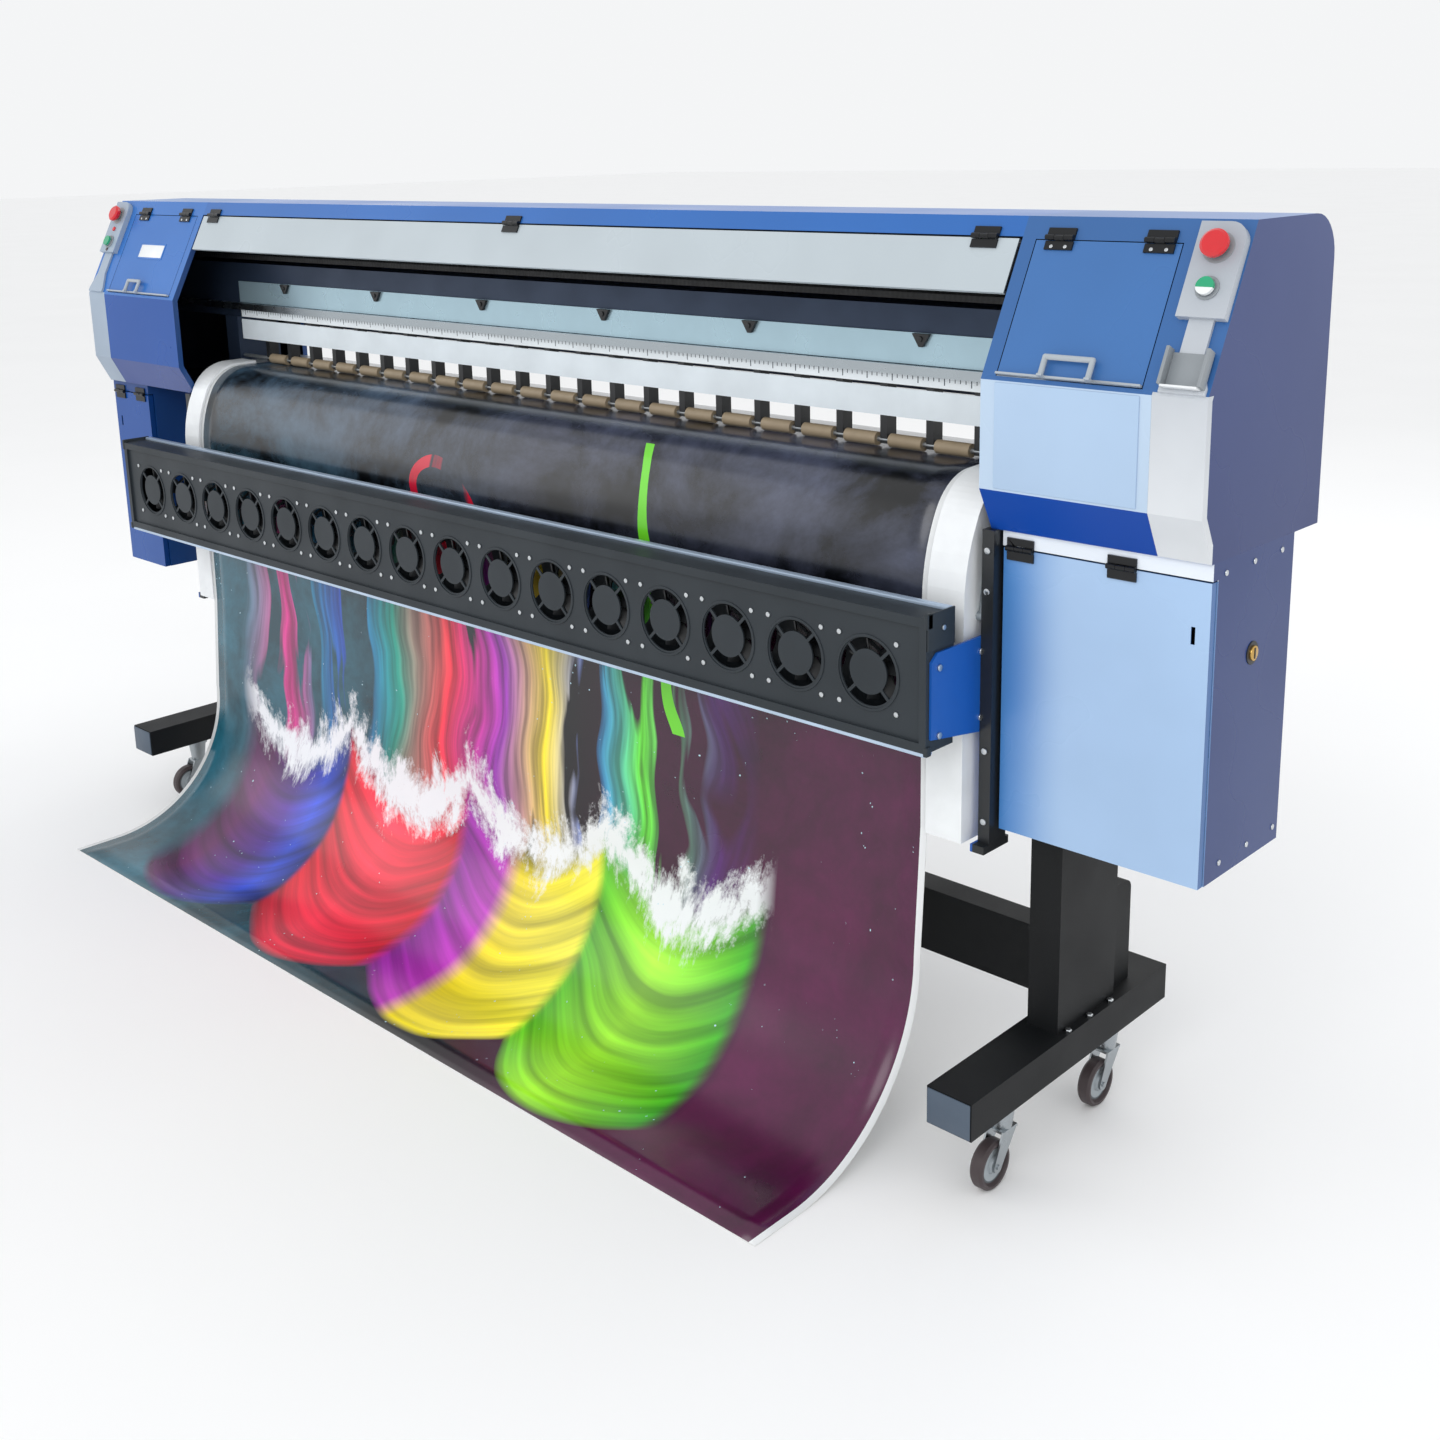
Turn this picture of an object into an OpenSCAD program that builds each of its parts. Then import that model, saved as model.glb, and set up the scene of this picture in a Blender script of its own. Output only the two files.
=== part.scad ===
// Roll-to-roll wide-format printer on a caster stand, with a drying fan bar.
// +X is the operator's right, the front faces -Y, +Z is up, the floor is Z = 0.
// The origin is under the middle of the footprint, from the front of the hanging
// print to the back of the supply roll.

/* [Overall] */
// Width over both pods
machine_w = 2944; // [2500:1:3600]
// Height of the flat top
machine_h = 1400; // [1200:1:1700]
// Reach of the footprint in front of and behind the origin
reach = 467; // [420:1:600]

/* [Pods] */
// Width of the left pod
left_pod_w = 403; // [330:1:500]
// Width of the right pod
right_pod_w = 337; // [300:1:420]
// Y of the pods' flat front
front_y = -72; // [-80:1:-60]
// How far back the top front edge lies behind the front
slope_run = 111; // [90:1:135]
// Height of the sloped upper front
slope_h = 214; // [178:1:257]
// Height of the flat front
front_h = 153; // [128:1:184]
// Height of the chamfer under the front
chamfer_h = 63; // [50:1:76]
// Depth of that chamfer
chamfer_run = 32; // [26:1:38]
// Y of the back of the pods
back_y = 268; // [255:1:300]
// Radius of the top rear corner
back_r = 60; // [40:1:75]
// Thickness of the painted sheet-metal casings
shell_t = 3; // [2:0.5:4]
// Width of the grey moulding on each pod's outer front corner
tower_w = 77; // [65:1:90]
// Thickness of that moulding
tower_t = 12; // [9:1:15]

/* [Lids and doors] */
// Thickness of a lid or door skin
lid_t = 3; // [2:0.5:4]
// Gap round a lid or door
gap = 1.5; // [1:0.25:3]
// Hinge knuckle radius
knuckle_r = 4; // [3:0.5:5]
// Hinge width
hinge_w = 44; // [36:1:52]
// Hinge pin radius
pin_r = 1.5; // [1:0.25:2]
// Running clearance round pins and shafts
run_gap = 0.05; // [0.03:0.01:0.1]
// Length of the front flap down the slope
flap_l = 82; // [68:1:98]
// Thickness of the front flap
flap_t = 6; // [5:0.5:8]

/* [Beam and carriage] */
// Y of the beam's front
beam_y = 100; // [100:1:106]
// Depth of the beam
beam_d = 100; // [84:1:120]
// Height of the beam
beam_h = 125; // [110:1:140]
// Wall of the beam
beam_t = 4; // [3:0.5:6]
// Height of the platen below the flat top
platen_drop = 368; // [360:1:376]
// Height of the beam's underside above the platen
beam_lift = 103; // [103:1:120]
// Width of the print carriage
carriage_w = 200; // [166:1:240]
// Drive pulley radius
pulley_r = 17.7; // [14:0.1:20]

/* [Media path] */
// X of the media's left edge
media_x0 = -1005; // [-1010:1:-980]
// X of the media's right edge
media_x1 = 1050; // [1000:1:1055]
// Thickness of the printed media
media_t = 0.8; // [0.6:0.1:1.2]
// Upper bend radius of the front guide
guide_r1 = 94; // [90:1:98]
// Lower bend radius of the front guide
guide_r2 = 273; // [260:1:285]
// Angle at which the two bends meet
guide_a = 62; // [60:1:64]
// Height of the guide's lower edge
guide_z0 = 500; // [450:1:560]
// Drive roller radius
grit_r = 14; // [11:0.5:14]
// Pinch roller radius
pinch_r = 11; // [9:0.5:12]
// Distance between pinch roller holders
pinch_pitch = 90; // [75:1:108]
// Radius of the supply roll
roll_r = 75; // [62:1:90]
// Height of the supply roll's axis
roll_z = 722; // [680:1:780]
// Supply shaft radius
shaft_r = 16; // [13:0.5:19]

/* [Cabinets] */
// Width of the left cabinet
left_cab_w = 170; // [142:1:204]
// Width of the right cabinet
right_cab_w = 321; // [300:1:326]
// Depth of the cabinets
cab_d = 230; // [200:1:250]
// Height of the cabinets' underside above the floor
cab_z0 = 518; // [430:1:620]
// Height of the fixed strip above a cabinet door
cab_head = 25; // [22:1:30]

/* [Drying fans] */
// X of the fan bar's left end
bar_x0 = -1165; // [-1200:1:-1100]
// X of the fan bar's right end
bar_x1 = 1124; // [1120:1:1126]
// Y of the fan bar's front
bar_y = -177; // [-190:1:-170]
// Depth of the fan bar
bar_d = 65; // [60:1:78]
// Height of the fan bar
bar_h = 198; // [165:1:237]
// Height of the fan bar's underside
bar_z0 = 667; // [600:1:740]
// Outer radius of a fan's annular grille
fan_r = 51; // [43:1:60]
// Radius of a fan's hub disc in the grille
fan_hub_r = 34; // [28:1:40]

/* [Stand] */
// X of the left leg
left_leg_x = -1103; // [-1106:1:-1100]
// X of the right leg
right_leg_x = 1214; // [1200:1:1240]
// Width of a column
column_w = 53; // [44:1:64]
// Depth of a column
column_d = 160; // [133:1:192]
// Width of a foot
foot_w = 77; // [64:1:92]
// Height of a foot
foot_h = 59; // [49:1:70]
// Y of a foot's front end
foot_y0 = -237; // [-260:1:-200]
// Y of a foot's back end
foot_y1 = 304; // [270:1:340]
// Height of the stretcher
stretcher_h = 110; // [92:1:132]
// Caster height
caster_h = 140; // [130:1:160]
// Caster wheel radius
wheel_r = 38; // [32:1:45]
// Caster wheel width
wheel_w = 22; // [18:1:26]
// Caster trail
trail = 30; // [25:1:36]

/* [Hidden] */
$fn = 40;
SIDES = ["left", "right"];
CORNERS = ["front_left", "front_right", "back_left", "back_right"];
FAN_NUMBERS = ["01", "02", "03", "04", "05", "06", "07", "08",
               "09", "10", "11", "12", "13", "14", "15", "16"];

far = 1;                                      // overshoot of a cutting tool
seat = 0.3;                                   // clearance of a soft or sliding piece
rim = 12;                                     // width left round a pod's inner opening
half_w = machine_w / 2;
lx0 = -half_w;                                // left pod
lx1 = -half_w + left_pod_w;
rx0 = half_w - right_pod_w;                   // right pod
rx1 = half_w;
top_y = front_y + slope_run;                  // top front edge
crease_z = machine_h - slope_h;
front_z0 = crease_z - front_h;
pod_z0 = front_z0 - chamfer_h;
slope_a = atan(slope_run / slope_h);
slope_l = norm([slope_run, slope_h]);

platen_z = machine_h - platen_drop;
platen_t = 42;
beam_z = platen_z + beam_lift;
beam_top = beam_z + beam_h;
roller_y = beam_y + 4;                        // axis of the drive and pinch rollers
frame_y = beam_y - 8;                         // front of the end frames
platen_y0 = roller_y + grit_r + 2;
platen_y1 = back_y - rim - 1;
platen_lip = 20;
grit_z = platen_z - grit_r;
pinch_z = platen_z + 2 * seat + media_t + pinch_r;
grit_shaft_r = 8;
pinch_shaft_r = 4;

rail_z = beam_z + 18;
rail_h = 15;
rail_d = 12;
cover_z = rail_z + rail_h + 1;
cover_h = 49;

guide_y = front_y + 2;                        // front plane of the guide
guide_arc_y = guide_y + guide_r2 * (1 - sin(guide_a)) + guide_r1 * sin(guide_a);
guide_back_y = roller_y - grit_r - 2;
guide_t = 3;
cover_w_left = media_x0 - lx1;
cover_w_right = 65;
cover_proud = 6;
cover_depth = 62;

cab_y0 = front_y + 38;
cab_y1 = cab_y0 + cab_d;
door_top = pod_z0 - cab_head;
door_d = 14;

hinge_s = 33;                                 // distance of a lid hinge down the slope
knuckle_lift = 0.5;                           // clearance between a knuckle and the sheet
hinge_y = knuckle_r + knuckle_lift;           // distance of a hinge axis from the sheet
lid_s1 = slope_l - 8;

upright_w = 20;
upright_y0 = front_y + 20;
upright_y1 = front_y + 62;
right_upright_x = bar_x1 + 4;
left_upright_x = lx1 - upright_w;

foot_top = caster_h + foot_h;
roll_y = reach - roll_r;

fan_count = len(FAN_NUMBERS);
fan_margin = (bar_x1 - bar_x0) * 0.0465;
fan_pitch = (bar_x1 - bar_x0 - 2 * fan_margin) / (fan_count - 1);
fan_z = bar_z0 + bar_h / 2;
fan_wall = 3;
fan_recess = 5;
fan_y0 = bar_y + fan_recess + fan_wall + 6;   // front of an impeller
fan_depth = 20;
motor_r = 16;
motor_shaft_r = 2.5;

BLUE = "#2c62b4";
NAVY = "#3c4a80";
PALE = "#b4cee8";
GREY = "#c8ccd0";
BLACK = "#2c2f31";
SILVER = "#b8c2c8";
WHITE = "#e4e9ec";

// a box between two opposite corners
module block(a, b) {
    translate(a) cube(b - a);
}

// a profile drawn in Y and Z, extruded along X
module along_x(x0, x1) {
    translate([x0, 0, 0]) rotate([90, 0, 90]) linear_extrude(x1 - x0) children();
}

// local frame on the sloped front: X along it, -Y outwards, -Z down the slope
module on_slope(x, s) {
    translate([x, top_y, machine_h]) rotate([-slope_a, 0, 0]) translate([0, 0, -s]) children();
}

// points of an arc about c, from angle a0 to a1
function arc(c, r, a0, a1, n) =
    [for (i = [0:n]) let(a = a0 + (a1 - a0) * i / n) c + r * [cos(a), sin(a)]];

// unit normal on the left of the line from p to q
function left_normal(p, q) = [p[1] - q[1], q[0] - p[0]] / norm(q - p);

// the outline p, drawn anticlockwise, with every side moved in by d
function inset(p, d) = let(n = len(p)) [for (i = [0:n - 1])
    let(a = left_normal(p[(i + n - 1) % n], p[i]), b = left_normal(p[i], p[(i + 1) % n]))
    p[i] + (a + b) * d / (1 + a * b)];

// an open line p moved sideways by d
function beside(p, d) = let(n = len(p)) [for (i = [0:n - 1])
    let(a = left_normal(p[max(i - 1, 0)], p[max(i, 1)]),
        b = left_normal(p[min(i, n - 2)], p[min(i + 1, n - 1)]))
    p[i] + (a + b) * d / (1 + a * b)];

function reversed(p) = [for (i = [len(p) - 1:-1:0]) p[i]];

// ---------------------------------------------------------------- hinges

// the fixed half of a hinge: two outer knuckles, the pin and a leaf above
module hinge_fixed(w = hinge_w) {
    third = w / 3;
    leaf = 15;
    for (s = [-1, 1]) translate([s * third, 0, 0]) {
        rotate([0, 90, 0]) cylinder(h = third - 0.6, r = knuckle_r, center = true);
        block([-third / 2 + 0.3, 1.5, 0], [third / 2 - 0.3, hinge_y, knuckle_r + 1]);
    }
    rotate([0, 90, 0]) cylinder(h = w, r = pin_r, center = true);
    block([-w / 2 + 0.3, 1.5, knuckle_r + 0.4], [w / 2 - 0.3, hinge_y, leaf]);
}

// the moving half: a middle knuckle with a bore for the pin, and a leaf below
module hinge_moving(w = hinge_w) {
    third = w / 3;
    leaf = 17;
    difference() {
        union() {
            rotate([0, 90, 0]) cylinder(h = third - 0.6, r = knuckle_r, center = true);
            block([-third / 2 + 0.3, 1.5, -knuckle_r - 1], [third / 2 - 0.3, hinge_y, 0]);
        }
        rotate([0, 90, 0]) cylinder(h = w, r = pin_r + run_gap, center = true);
    }
    block([-w / 2 + 0.3, 1.5, -leaf], [w / 2 - 0.3, hinge_y, -knuckle_r - 0.4]);
}

// ---------------------------------------------------------------- stand

function leg_x(side) = side == "left" ? left_leg_x : right_leg_x;
front_caster_y = foot_y0 + 134;
back_caster_y = foot_y1 - 114;
stem_r = 6;
stem_h = 12;

// one leg: a box foot, a box column and the plate behind the column
module leg(x) {
    wall = 3;
    boss = 40;
    difference() {
        block([x - foot_w / 2, foot_y0, caster_h], [x + foot_w / 2, foot_y1, foot_top]);
        block([x - foot_w / 2 + wall, front_caster_y + boss, caster_h + wall],
              [x + foot_w / 2 - wall, back_caster_y - boss, foot_top - wall]);
        for (y = [front_caster_y, back_caster_y])
            translate([x, y, caster_h - far]) cylinder(h = stem_h + 1 + far, r = stem_r + run_gap);
    }
    difference() {
        block([x - column_w / 2, 0, foot_top], [x + column_w / 2, column_d, pod_z0]);
        block([x - column_w / 2 + wall, wall, foot_top + wall],
              [x + column_w / 2 - wall, column_d - wall, pod_z0 - wall]);
    }
    plate_h = 172;
    plate_d = 65;
    round_r = 16;
    along_x(x - 14, x + 14) polygon(concat(
        [[column_d, foot_top], [column_d + plate_d, foot_top]],
        arc([column_d + plate_d - round_r, foot_top + plate_h - round_r], round_r, 0, 90, 6),
        [[column_d, foot_top + plate_h]]));
}

module legs() {
    color(BLACK) for (side = SIDES) leg(leg_x(side));
}

module stretcher() {
    y0 = column_d / 2;
    wall = 3;
    color(BLACK) difference() {
        block([left_leg_x + column_w / 2, y0, foot_top + 6],
              [right_leg_x - column_w / 2, y0 + 50, foot_top + 6 + stretcher_h]);
        block([left_leg_x, y0 + wall, foot_top + 6 + wall],
              [right_leg_x, y0 + 50 - wall, foot_top + 6 + stretcher_h - wall]);
    }
}

function caster_x(c) = (c == "front_left" || c == "back_left") ? left_leg_x : right_leg_x;
function caster_y(c) = (c == "front_left" || c == "front_right") ? front_caster_y : back_caster_y;

cheek_t = 3;
cheek_x = wheel_w / 2 + 1;                    // inner face of a fork cheek
axle_r = 4;

// swivelling fork with its stem and the fixed axle; the wheel trails to the front
module fork(c) {
    crown_z = 2 * wheel_r + 8;
    color(SILVER) translate([caster_x(c), caster_y(c), 0]) {
        translate([0, 0, caster_h - 12]) cylinder(h = 12 - seat, r = 24);
        translate([0, 0, crown_z + 3]) cylinder(h = caster_h - 12 - crown_z - 3, r1 = 15, r2 = 20);
        translate([0, 0, caster_h - 2]) cylinder(h = stem_h + 2, r = stem_r);
        block([-cheek_x - cheek_t, -18, crown_z], [cheek_x + cheek_t, 18, crown_z + 4]);
        for (s = [-1, 1]) along_x(s > 0 ? cheek_x : -cheek_x - cheek_t,
                                  s > 0 ? cheek_x + cheek_t : -cheek_x)
            polygon(concat([[18, crown_z + 4], [-18, crown_z + 4]],
                           arc([-trail, wheel_r], 10, 165, 345, 10)));
        translate([0, -trail, wheel_r]) rotate([0, 90, 0])
            cylinder(h = 2 * (cheek_x + cheek_t + 2), r = axle_r, center = true);
    }
}

// wheel: tread and hub turned in one profile, with the axle bore
module wheel(c) {
    w = wheel_w / 2;
    color("#4a3a36") translate([caster_x(c), caster_y(c) - trail, wheel_r]) rotate([0, 90, 0])
        rotate_extrude($fn = 64) polygon([
            [axle_r + run_gap, -w], [12, -w], [14, -w + 5], [wheel_r - 9, -w + 5],
            [wheel_r - 7, -w], [wheel_r - 3, -w], [wheel_r, -w + 4], [wheel_r, w - 4],
            [wheel_r - 3, w], [wheel_r - 7, w], [wheel_r - 9, w - 5], [14, w - 5],
            [12, w], [axle_r + run_gap, w]]);
}

// ---------------------------------------------------------------- pods

pod_outline = concat(
    [[top_y, machine_h], [front_y, crease_z], [front_y, front_z0],
     [front_y + chamfer_run, pod_z0], [back_y, pod_z0]],
    arc([back_y - back_r, machine_h - back_r], back_r, 0, 90, 8));

// the grey corner moulding's own volume, from the crease down to the underside
module tower_strip(x0, x1) {
    difference() {
        along_x(x0, x1) polygon(pod_outline);
        along_x(x0 - far, x1 + far) polygon(inset(pod_outline, tower_t));
        block([x0 - far, front_y + chamfer_run, pod_z0 - far], [x1 + far, back_y + far, machine_h + far]);
        block([x0 - far, front_y - far, crease_z + 4], [x1 + far, back_y + far, machine_h + far]);
    }
}

// a casing between x0 and x1; wall is the closed outer side, -1 left or 1 right
module pod_shell(x0, x1, wall, lid_x0, lid_x1, tower_x0, tower_x1) {
    t = shell_t;
    difference() {
        along_x(x0, x1) polygon(pod_outline);
        along_x(x0 + t, x1 - t) polygon(inset(pod_outline, t));
        along_x(wall > 0 ? x0 - far : x1 - t - far, wall > 0 ? x0 + t + far : x1 + far)
            polygon(inset(pod_outline, rim));
        tower_strip(tower_x0, tower_x1);
        on_slope(0, 0) block([lid_x0, -far, -lid_s1 - gap], [lid_x1, t + far, -hinge_s - 1]);
    }
}

left_lid_x0 = lx0 + tower_w + 15;
left_lid_x1 = lx1 - 22;
right_lid_x0 = rx0 + 22;
right_lid_x1 = rx1 - tower_w - 15;

module left_pod_shell() {
    color(BLUE) pod_shell(lx0, lx1, -1, left_lid_x0, left_lid_x1, lx0, lx0 + tower_w);
    color(BLUE) for (x = [left_lid_x0 + 50, left_lid_x1 - 50])
        on_slope(x, hinge_s) translate([0, -hinge_y, 0]) hinge_fixed();
}

module right_pod_shell() {
    color(BLUE) pod_shell(rx0, rx1, 1, right_lid_x0, right_lid_x1, rx1 - tower_w, rx1);
    color(BLACK) for (x = [right_lid_x0 + 40, right_lid_x1 - 32])
        on_slope(x, hinge_s) translate([0, -hinge_y, 0]) hinge_fixed();
}

// a lid lying in the slope between x0 and x1, with hinge leaves at hx and a lower lip
module lid(x0, x1, hx) {
    on_slope(0, 0) {
        block([x0 + gap, 0, -lid_s1], [x1 - gap, lid_t, -hinge_s - 1 - gap]);
        block([x0 + gap, -6, -lid_s1], [x1 - gap, 0, -lid_s1 + lid_t]);
    }
    for (x = hx) on_slope(x, hinge_s) translate([0, -hinge_y, 0]) hinge_moving();
}

handle_h = 28;
handle_r = 4;
handle_out = 10;

// a bow handle standing on a lid's lower lip, centred on x
module lid_handle(x, w) {
    on_slope(x, lid_s1) {
        for (s = [-1, 1]) translate([s * (w / 2 - handle_r), -handle_out, 0])
            cylinder(h = handle_h, r = handle_r);
        for (s = [-1, 1]) translate([s * (w / 2 - handle_r), -handle_out, handle_h])
            sphere(r = handle_r);
        for (s = [-1, 1]) block([s * (w / 2 - handle_r) - handle_r, -handle_out - handle_r, 0],
                                [s * (w / 2 - handle_r) + handle_r, -6, lid_t]);
        translate([0, -handle_out, handle_h]) rotate([0, 90, 0])
            cylinder(h = w - 2 * handle_r, r = handle_r, center = true);
    }
}

module right_lid() {
    color(BLUE) lid(right_lid_x0, right_lid_x1, [right_lid_x0 + 40, right_lid_x1 - 32]);
    color(WHITE) lid_handle((right_lid_x0 + right_lid_x1) / 2, 80);
}

module left_lid() {
    color(BLUE) lid(left_lid_x0, left_lid_x1, [left_lid_x0 + 50, left_lid_x1 - 50]);
    color(SILVER) lid_handle(left_lid_x0 + 125, 60);
}

// positions of the push buttons: distance down the slope
panel_w = 67;
panel_s0 = 8;
panel_l = 130;
panel_h = 12;
e_stop_s = 44;
start_s = 99;
left_start_s = 112;
panel_x_right = rx1 - 36;
panel_x_left = lx0 + 36;
stop_stem_r = 9;
start_stem_r = 6;
travel = 4;

// the raised panel that carries the buttons, on one side
module control_panel(x, start) {
    w = panel_w / 2;
    r = 26;
    difference() {
        on_slope(x, panel_s0) rotate([90, 0, 0]) linear_extrude(panel_h) polygon(concat(
            [[-w, 0], [-w, -panel_l], [w, -panel_l]], arc([w - r, -r], r, 0, 90, 8)));
        on_slope(x, e_stop_s) translate([0, -2, 0]) rotate([90, 0, 0])
            cylinder(h = panel_h, r = stop_stem_r + 0.1);
        on_slope(x, start) translate([0, -2, 0]) rotate([90, 0, 0])
            cylinder(h = panel_h, r = start_stem_r + 0.1);
    }
}

// the flared tongue between the panel and the corner column
module tongue(x) {
    neck = 17;
    foot = 32;
    flare = 190;
    on_slope(x, 0) rotate([90, 0, 0]) linear_extrude(5) polygon([
        [-neck, -panel_s0 - panel_l], [-neck, -flare], [-foot, -slope_l + 14], [-foot, -slope_l + 4],
        [foot, -slope_l + 4], [foot, -slope_l + 14], [neck, -flare], [neck, -panel_s0 - panel_l]]);
}

module control_towers() {
    color(GREY) {
        tower_strip(lx0, lx0 + tower_w);
        tongue(panel_x_left);
        control_panel(panel_x_left, left_start_s);
        tower_strip(rx1 - tower_w, rx1);
        tongue(panel_x_right);
        control_panel(panel_x_right, start_s);
    }
}

// a mushroom stop button; it presses in along its stem
module e_stop(x) {
    color("#d0202a") on_slope(x, e_stop_s) rotate([90, 0, 0]) {
        translate([0, 0, travel + 2.5]) cylinder(h = panel_h + 2, r = stop_stem_r);
        translate([0, 0, panel_h + travel + 1]) cylinder(h = 6, r1 = 14, r2 = 19);
        translate([0, 0, panel_h + travel + 7]) cylinder(h = 5, r = 19);
        translate([0, 0, panel_h + travel + 12]) cylinder(h = 3, r1 = 19, r2 = 15);
    }
}

module start_button(x, s) {
    color("#12a070") on_slope(x, s) rotate([90, 0, 0]) {
        translate([0, 0, travel + 2.5]) cylinder(h = panel_h, r = start_stem_r);
        translate([0, 0, panel_h + travel + 1]) cylinder(h = 5, r = 12);
    }
}

module right_e_stop() { e_stop(panel_x_right); }
module left_e_stop() { e_stop(panel_x_left); }
module right_start_button() { start_button(panel_x_right, start_s); }
module left_start_button() { start_button(panel_x_left, left_start_s); }

// ---------------------------------------------------------------- top cover and flap

flap_x0 = lx1 + 5;
flap_x1 = rx0 - 5;
flap_hinges = [flap_x0 + 48, (flap_x0 + flap_x1) / 2, flap_x1 - 55];
skirt_z = machine_h - 300;

module top_cover() {
    t = shell_t;
    color(BLUE) difference() {
        along_x(lx1, rx0) polygon(pod_outline);
        along_x(lx1 - far, rx0 + far) polygon(inset(pod_outline, t));
        block([lx1 - far, front_y - far, pod_z0 - far], [rx0 + far, back_y - 20, crease_z + 20]);
        block([lx1 - far, front_y - far, pod_z0 - far], [rx0 + far, back_y + far, skirt_z]);
        on_slope(0, hinge_s - 2) block([lx1 - far, -far, -slope_l], [rx0 + far, 60, 0]);
    }
    color(BLACK) for (x = flap_hinges)
        on_slope(x, hinge_s) translate([0, -hinge_y, 0]) hinge_fixed();
}

module front_flap() {
    color(SILVER) {
        on_slope(0, hinge_s) difference() {
            block([flap_x0, 0, -flap_l], [flap_x1, flap_t, -1]);
            block([flap_x0 - far, 2, -flap_l + 4], [flap_x1 + far, flap_t + far, -5]);
        }
        for (x = flap_hinges) on_slope(x, hinge_s) translate([0, -hinge_y, 0]) hinge_moving();
    }
}

// ---------------------------------------------------------------- beam, rail, carriage

frame_inset = 10;
pulley_y = beam_y + 25;
pulley_x = half_w - 72;
belt_t = 2;
belt_z0 = beam_top + 8;
belt_h = 10;
pulley_shaft_r = 5;

module main_beam() {
    color("#33373b") {
        difference() {
            block([-half_w + 32, beam_y, beam_z], [half_w - 32, beam_y + beam_d, beam_top]);
            block([-half_w, beam_y + beam_t, beam_z + beam_t],
                  [half_w, beam_y + beam_d - beam_t, beam_top - beam_t]);
            for (x = [-pulley_x, pulley_x]) translate([x, pulley_y, beam_top - beam_t - far])
                cylinder(h = beam_t + 2 * far, r = pulley_shaft_r + run_gap);
        }
        for (side = SIDES) end_frame(leg_x(side), side == "left" ? 1 : -1);
    }
}

// a bearing frame inside a pod, over its column; the rollers run in it
module end_frame(x, inner) {
    x0 = x - column_w / 2;
    x1 = x + column_w / 2;
    mouth = inner > 0 ? x1 : x0;
    difference() {
        block([x0, frame_y, pod_z0 + shell_t], [x1, beam_y + beam_d, beam_z]);
        for (b = [[grit_z, grit_shaft_r], [pinch_z, pinch_shaft_r]])
            translate([mouth - inner * 25, roller_y, b[0]]) rotate([0, inner * 90, 0])
                cylinder(h = 26, r = b[1] + run_gap);
    }
}

module beam_cover() {
    color(SILVER) block([lx1 + 3, beam_y - 3, cover_z], [rx0 - 3, beam_y, cover_z + cover_h]);
}

module linear_rail() {
    color("#d8dde0") {
        block([-half_w + 40, beam_y - rail_d, rail_z], [half_w - 40, beam_y, rail_z + rail_h]);
        block([lx1 + 3, beam_y - 2, beam_z + 0.5], [rx0 - 3, beam_y, rail_z - 1]);
    }
}

carriage_x = rx1 - 82 - carriage_w / 2;
carriage_y1 = beam_y - rail_d - seat;
carriage_y0 = carriage_y1 - 84;
head_z = platen_z + 6;

// the print carriage parked in the right pod: box, rail block, belt clamp and heads
module carriage() {
    x0 = carriage_x - carriage_w / 2;
    x1 = carriage_x + carriage_w / 2;
    color("#5a6066") {
        difference() {
            block([x0, carriage_y0, head_z + 22], [x1, carriage_y1, beam_top + 2]);
            block([x0 + 4, carriage_y0 + 4, head_z + 28],
                  [x1 - 4, carriage_y1 - 6, beam_top - 2]);
        }
        for (z = [rail_z - 5, rail_z + rail_h + seat])
            block([x0 + 10, carriage_y1, z], [x1 - 10, beam_y - 4, z + 5 - seat]);
        difference() {
            block([carriage_x - 20, carriage_y1 - 10, beam_top + 2],
                  [carriage_x + 20, pulley_y - pulley_r + 6, belt_z0 + belt_h + 6]);
            block([carriage_x - 20 - far, pulley_y - pulley_r - belt_t - 2 * seat, belt_z0 - seat],
                  [carriage_x + 20 + far, pulley_y - pulley_r + seat, belt_z0 + belt_h + 6 + far]);
        }
    }
    color(BLACK) for (i = [0:3]) {
        hx = x0 + 14 + i * (carriage_w - 28 - 36) / 3;
        block([hx, carriage_y0 + 12, head_z], [hx + 36, carriage_y1 - 10, head_z + 22]);
    }
}

module belt_loop(r, z0, z1) {
    for (x = [-pulley_x, pulley_x]) translate([x, pulley_y, z0]) cylinder(h = z1 - z0, r = r);
    block([-pulley_x, pulley_y - r, z0], [pulley_x, pulley_y + r, z1]);
}

module drive_belt() {
    color(BLACK) difference() {
        belt_loop(pulley_r + seat + belt_t, belt_z0, belt_z0 + belt_h);
        belt_loop(pulley_r + seat, belt_z0 - far, belt_z0 + belt_h + far);
    }
}

module pulley(x) {
    color(SILVER) translate([x, pulley_y, 0]) {
        translate([0, 0, belt_z0 - 2]) cylinder(h = belt_h + 4, r = pulley_r);
        translate([0, 0, beam_top + seat]) cylinder(h = belt_z0 - beam_top - seat, r = 9);
        translate([0, 0, beam_top - beam_t - 4]) cylinder(h = beam_t + 5, r = pulley_shaft_r);
        for (a = [0, 90]) rotate([0, 0, a])
            block([-10, -2, belt_z0 + belt_h + 1], [10, 2, belt_z0 + belt_h + 4]);
    }
}

module drive_pulley() { pulley(-pulley_x); }
module idler_pulley() { pulley(pulley_x); }

// ---------------------------------------------------------------- platen, rollers, guide

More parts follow.
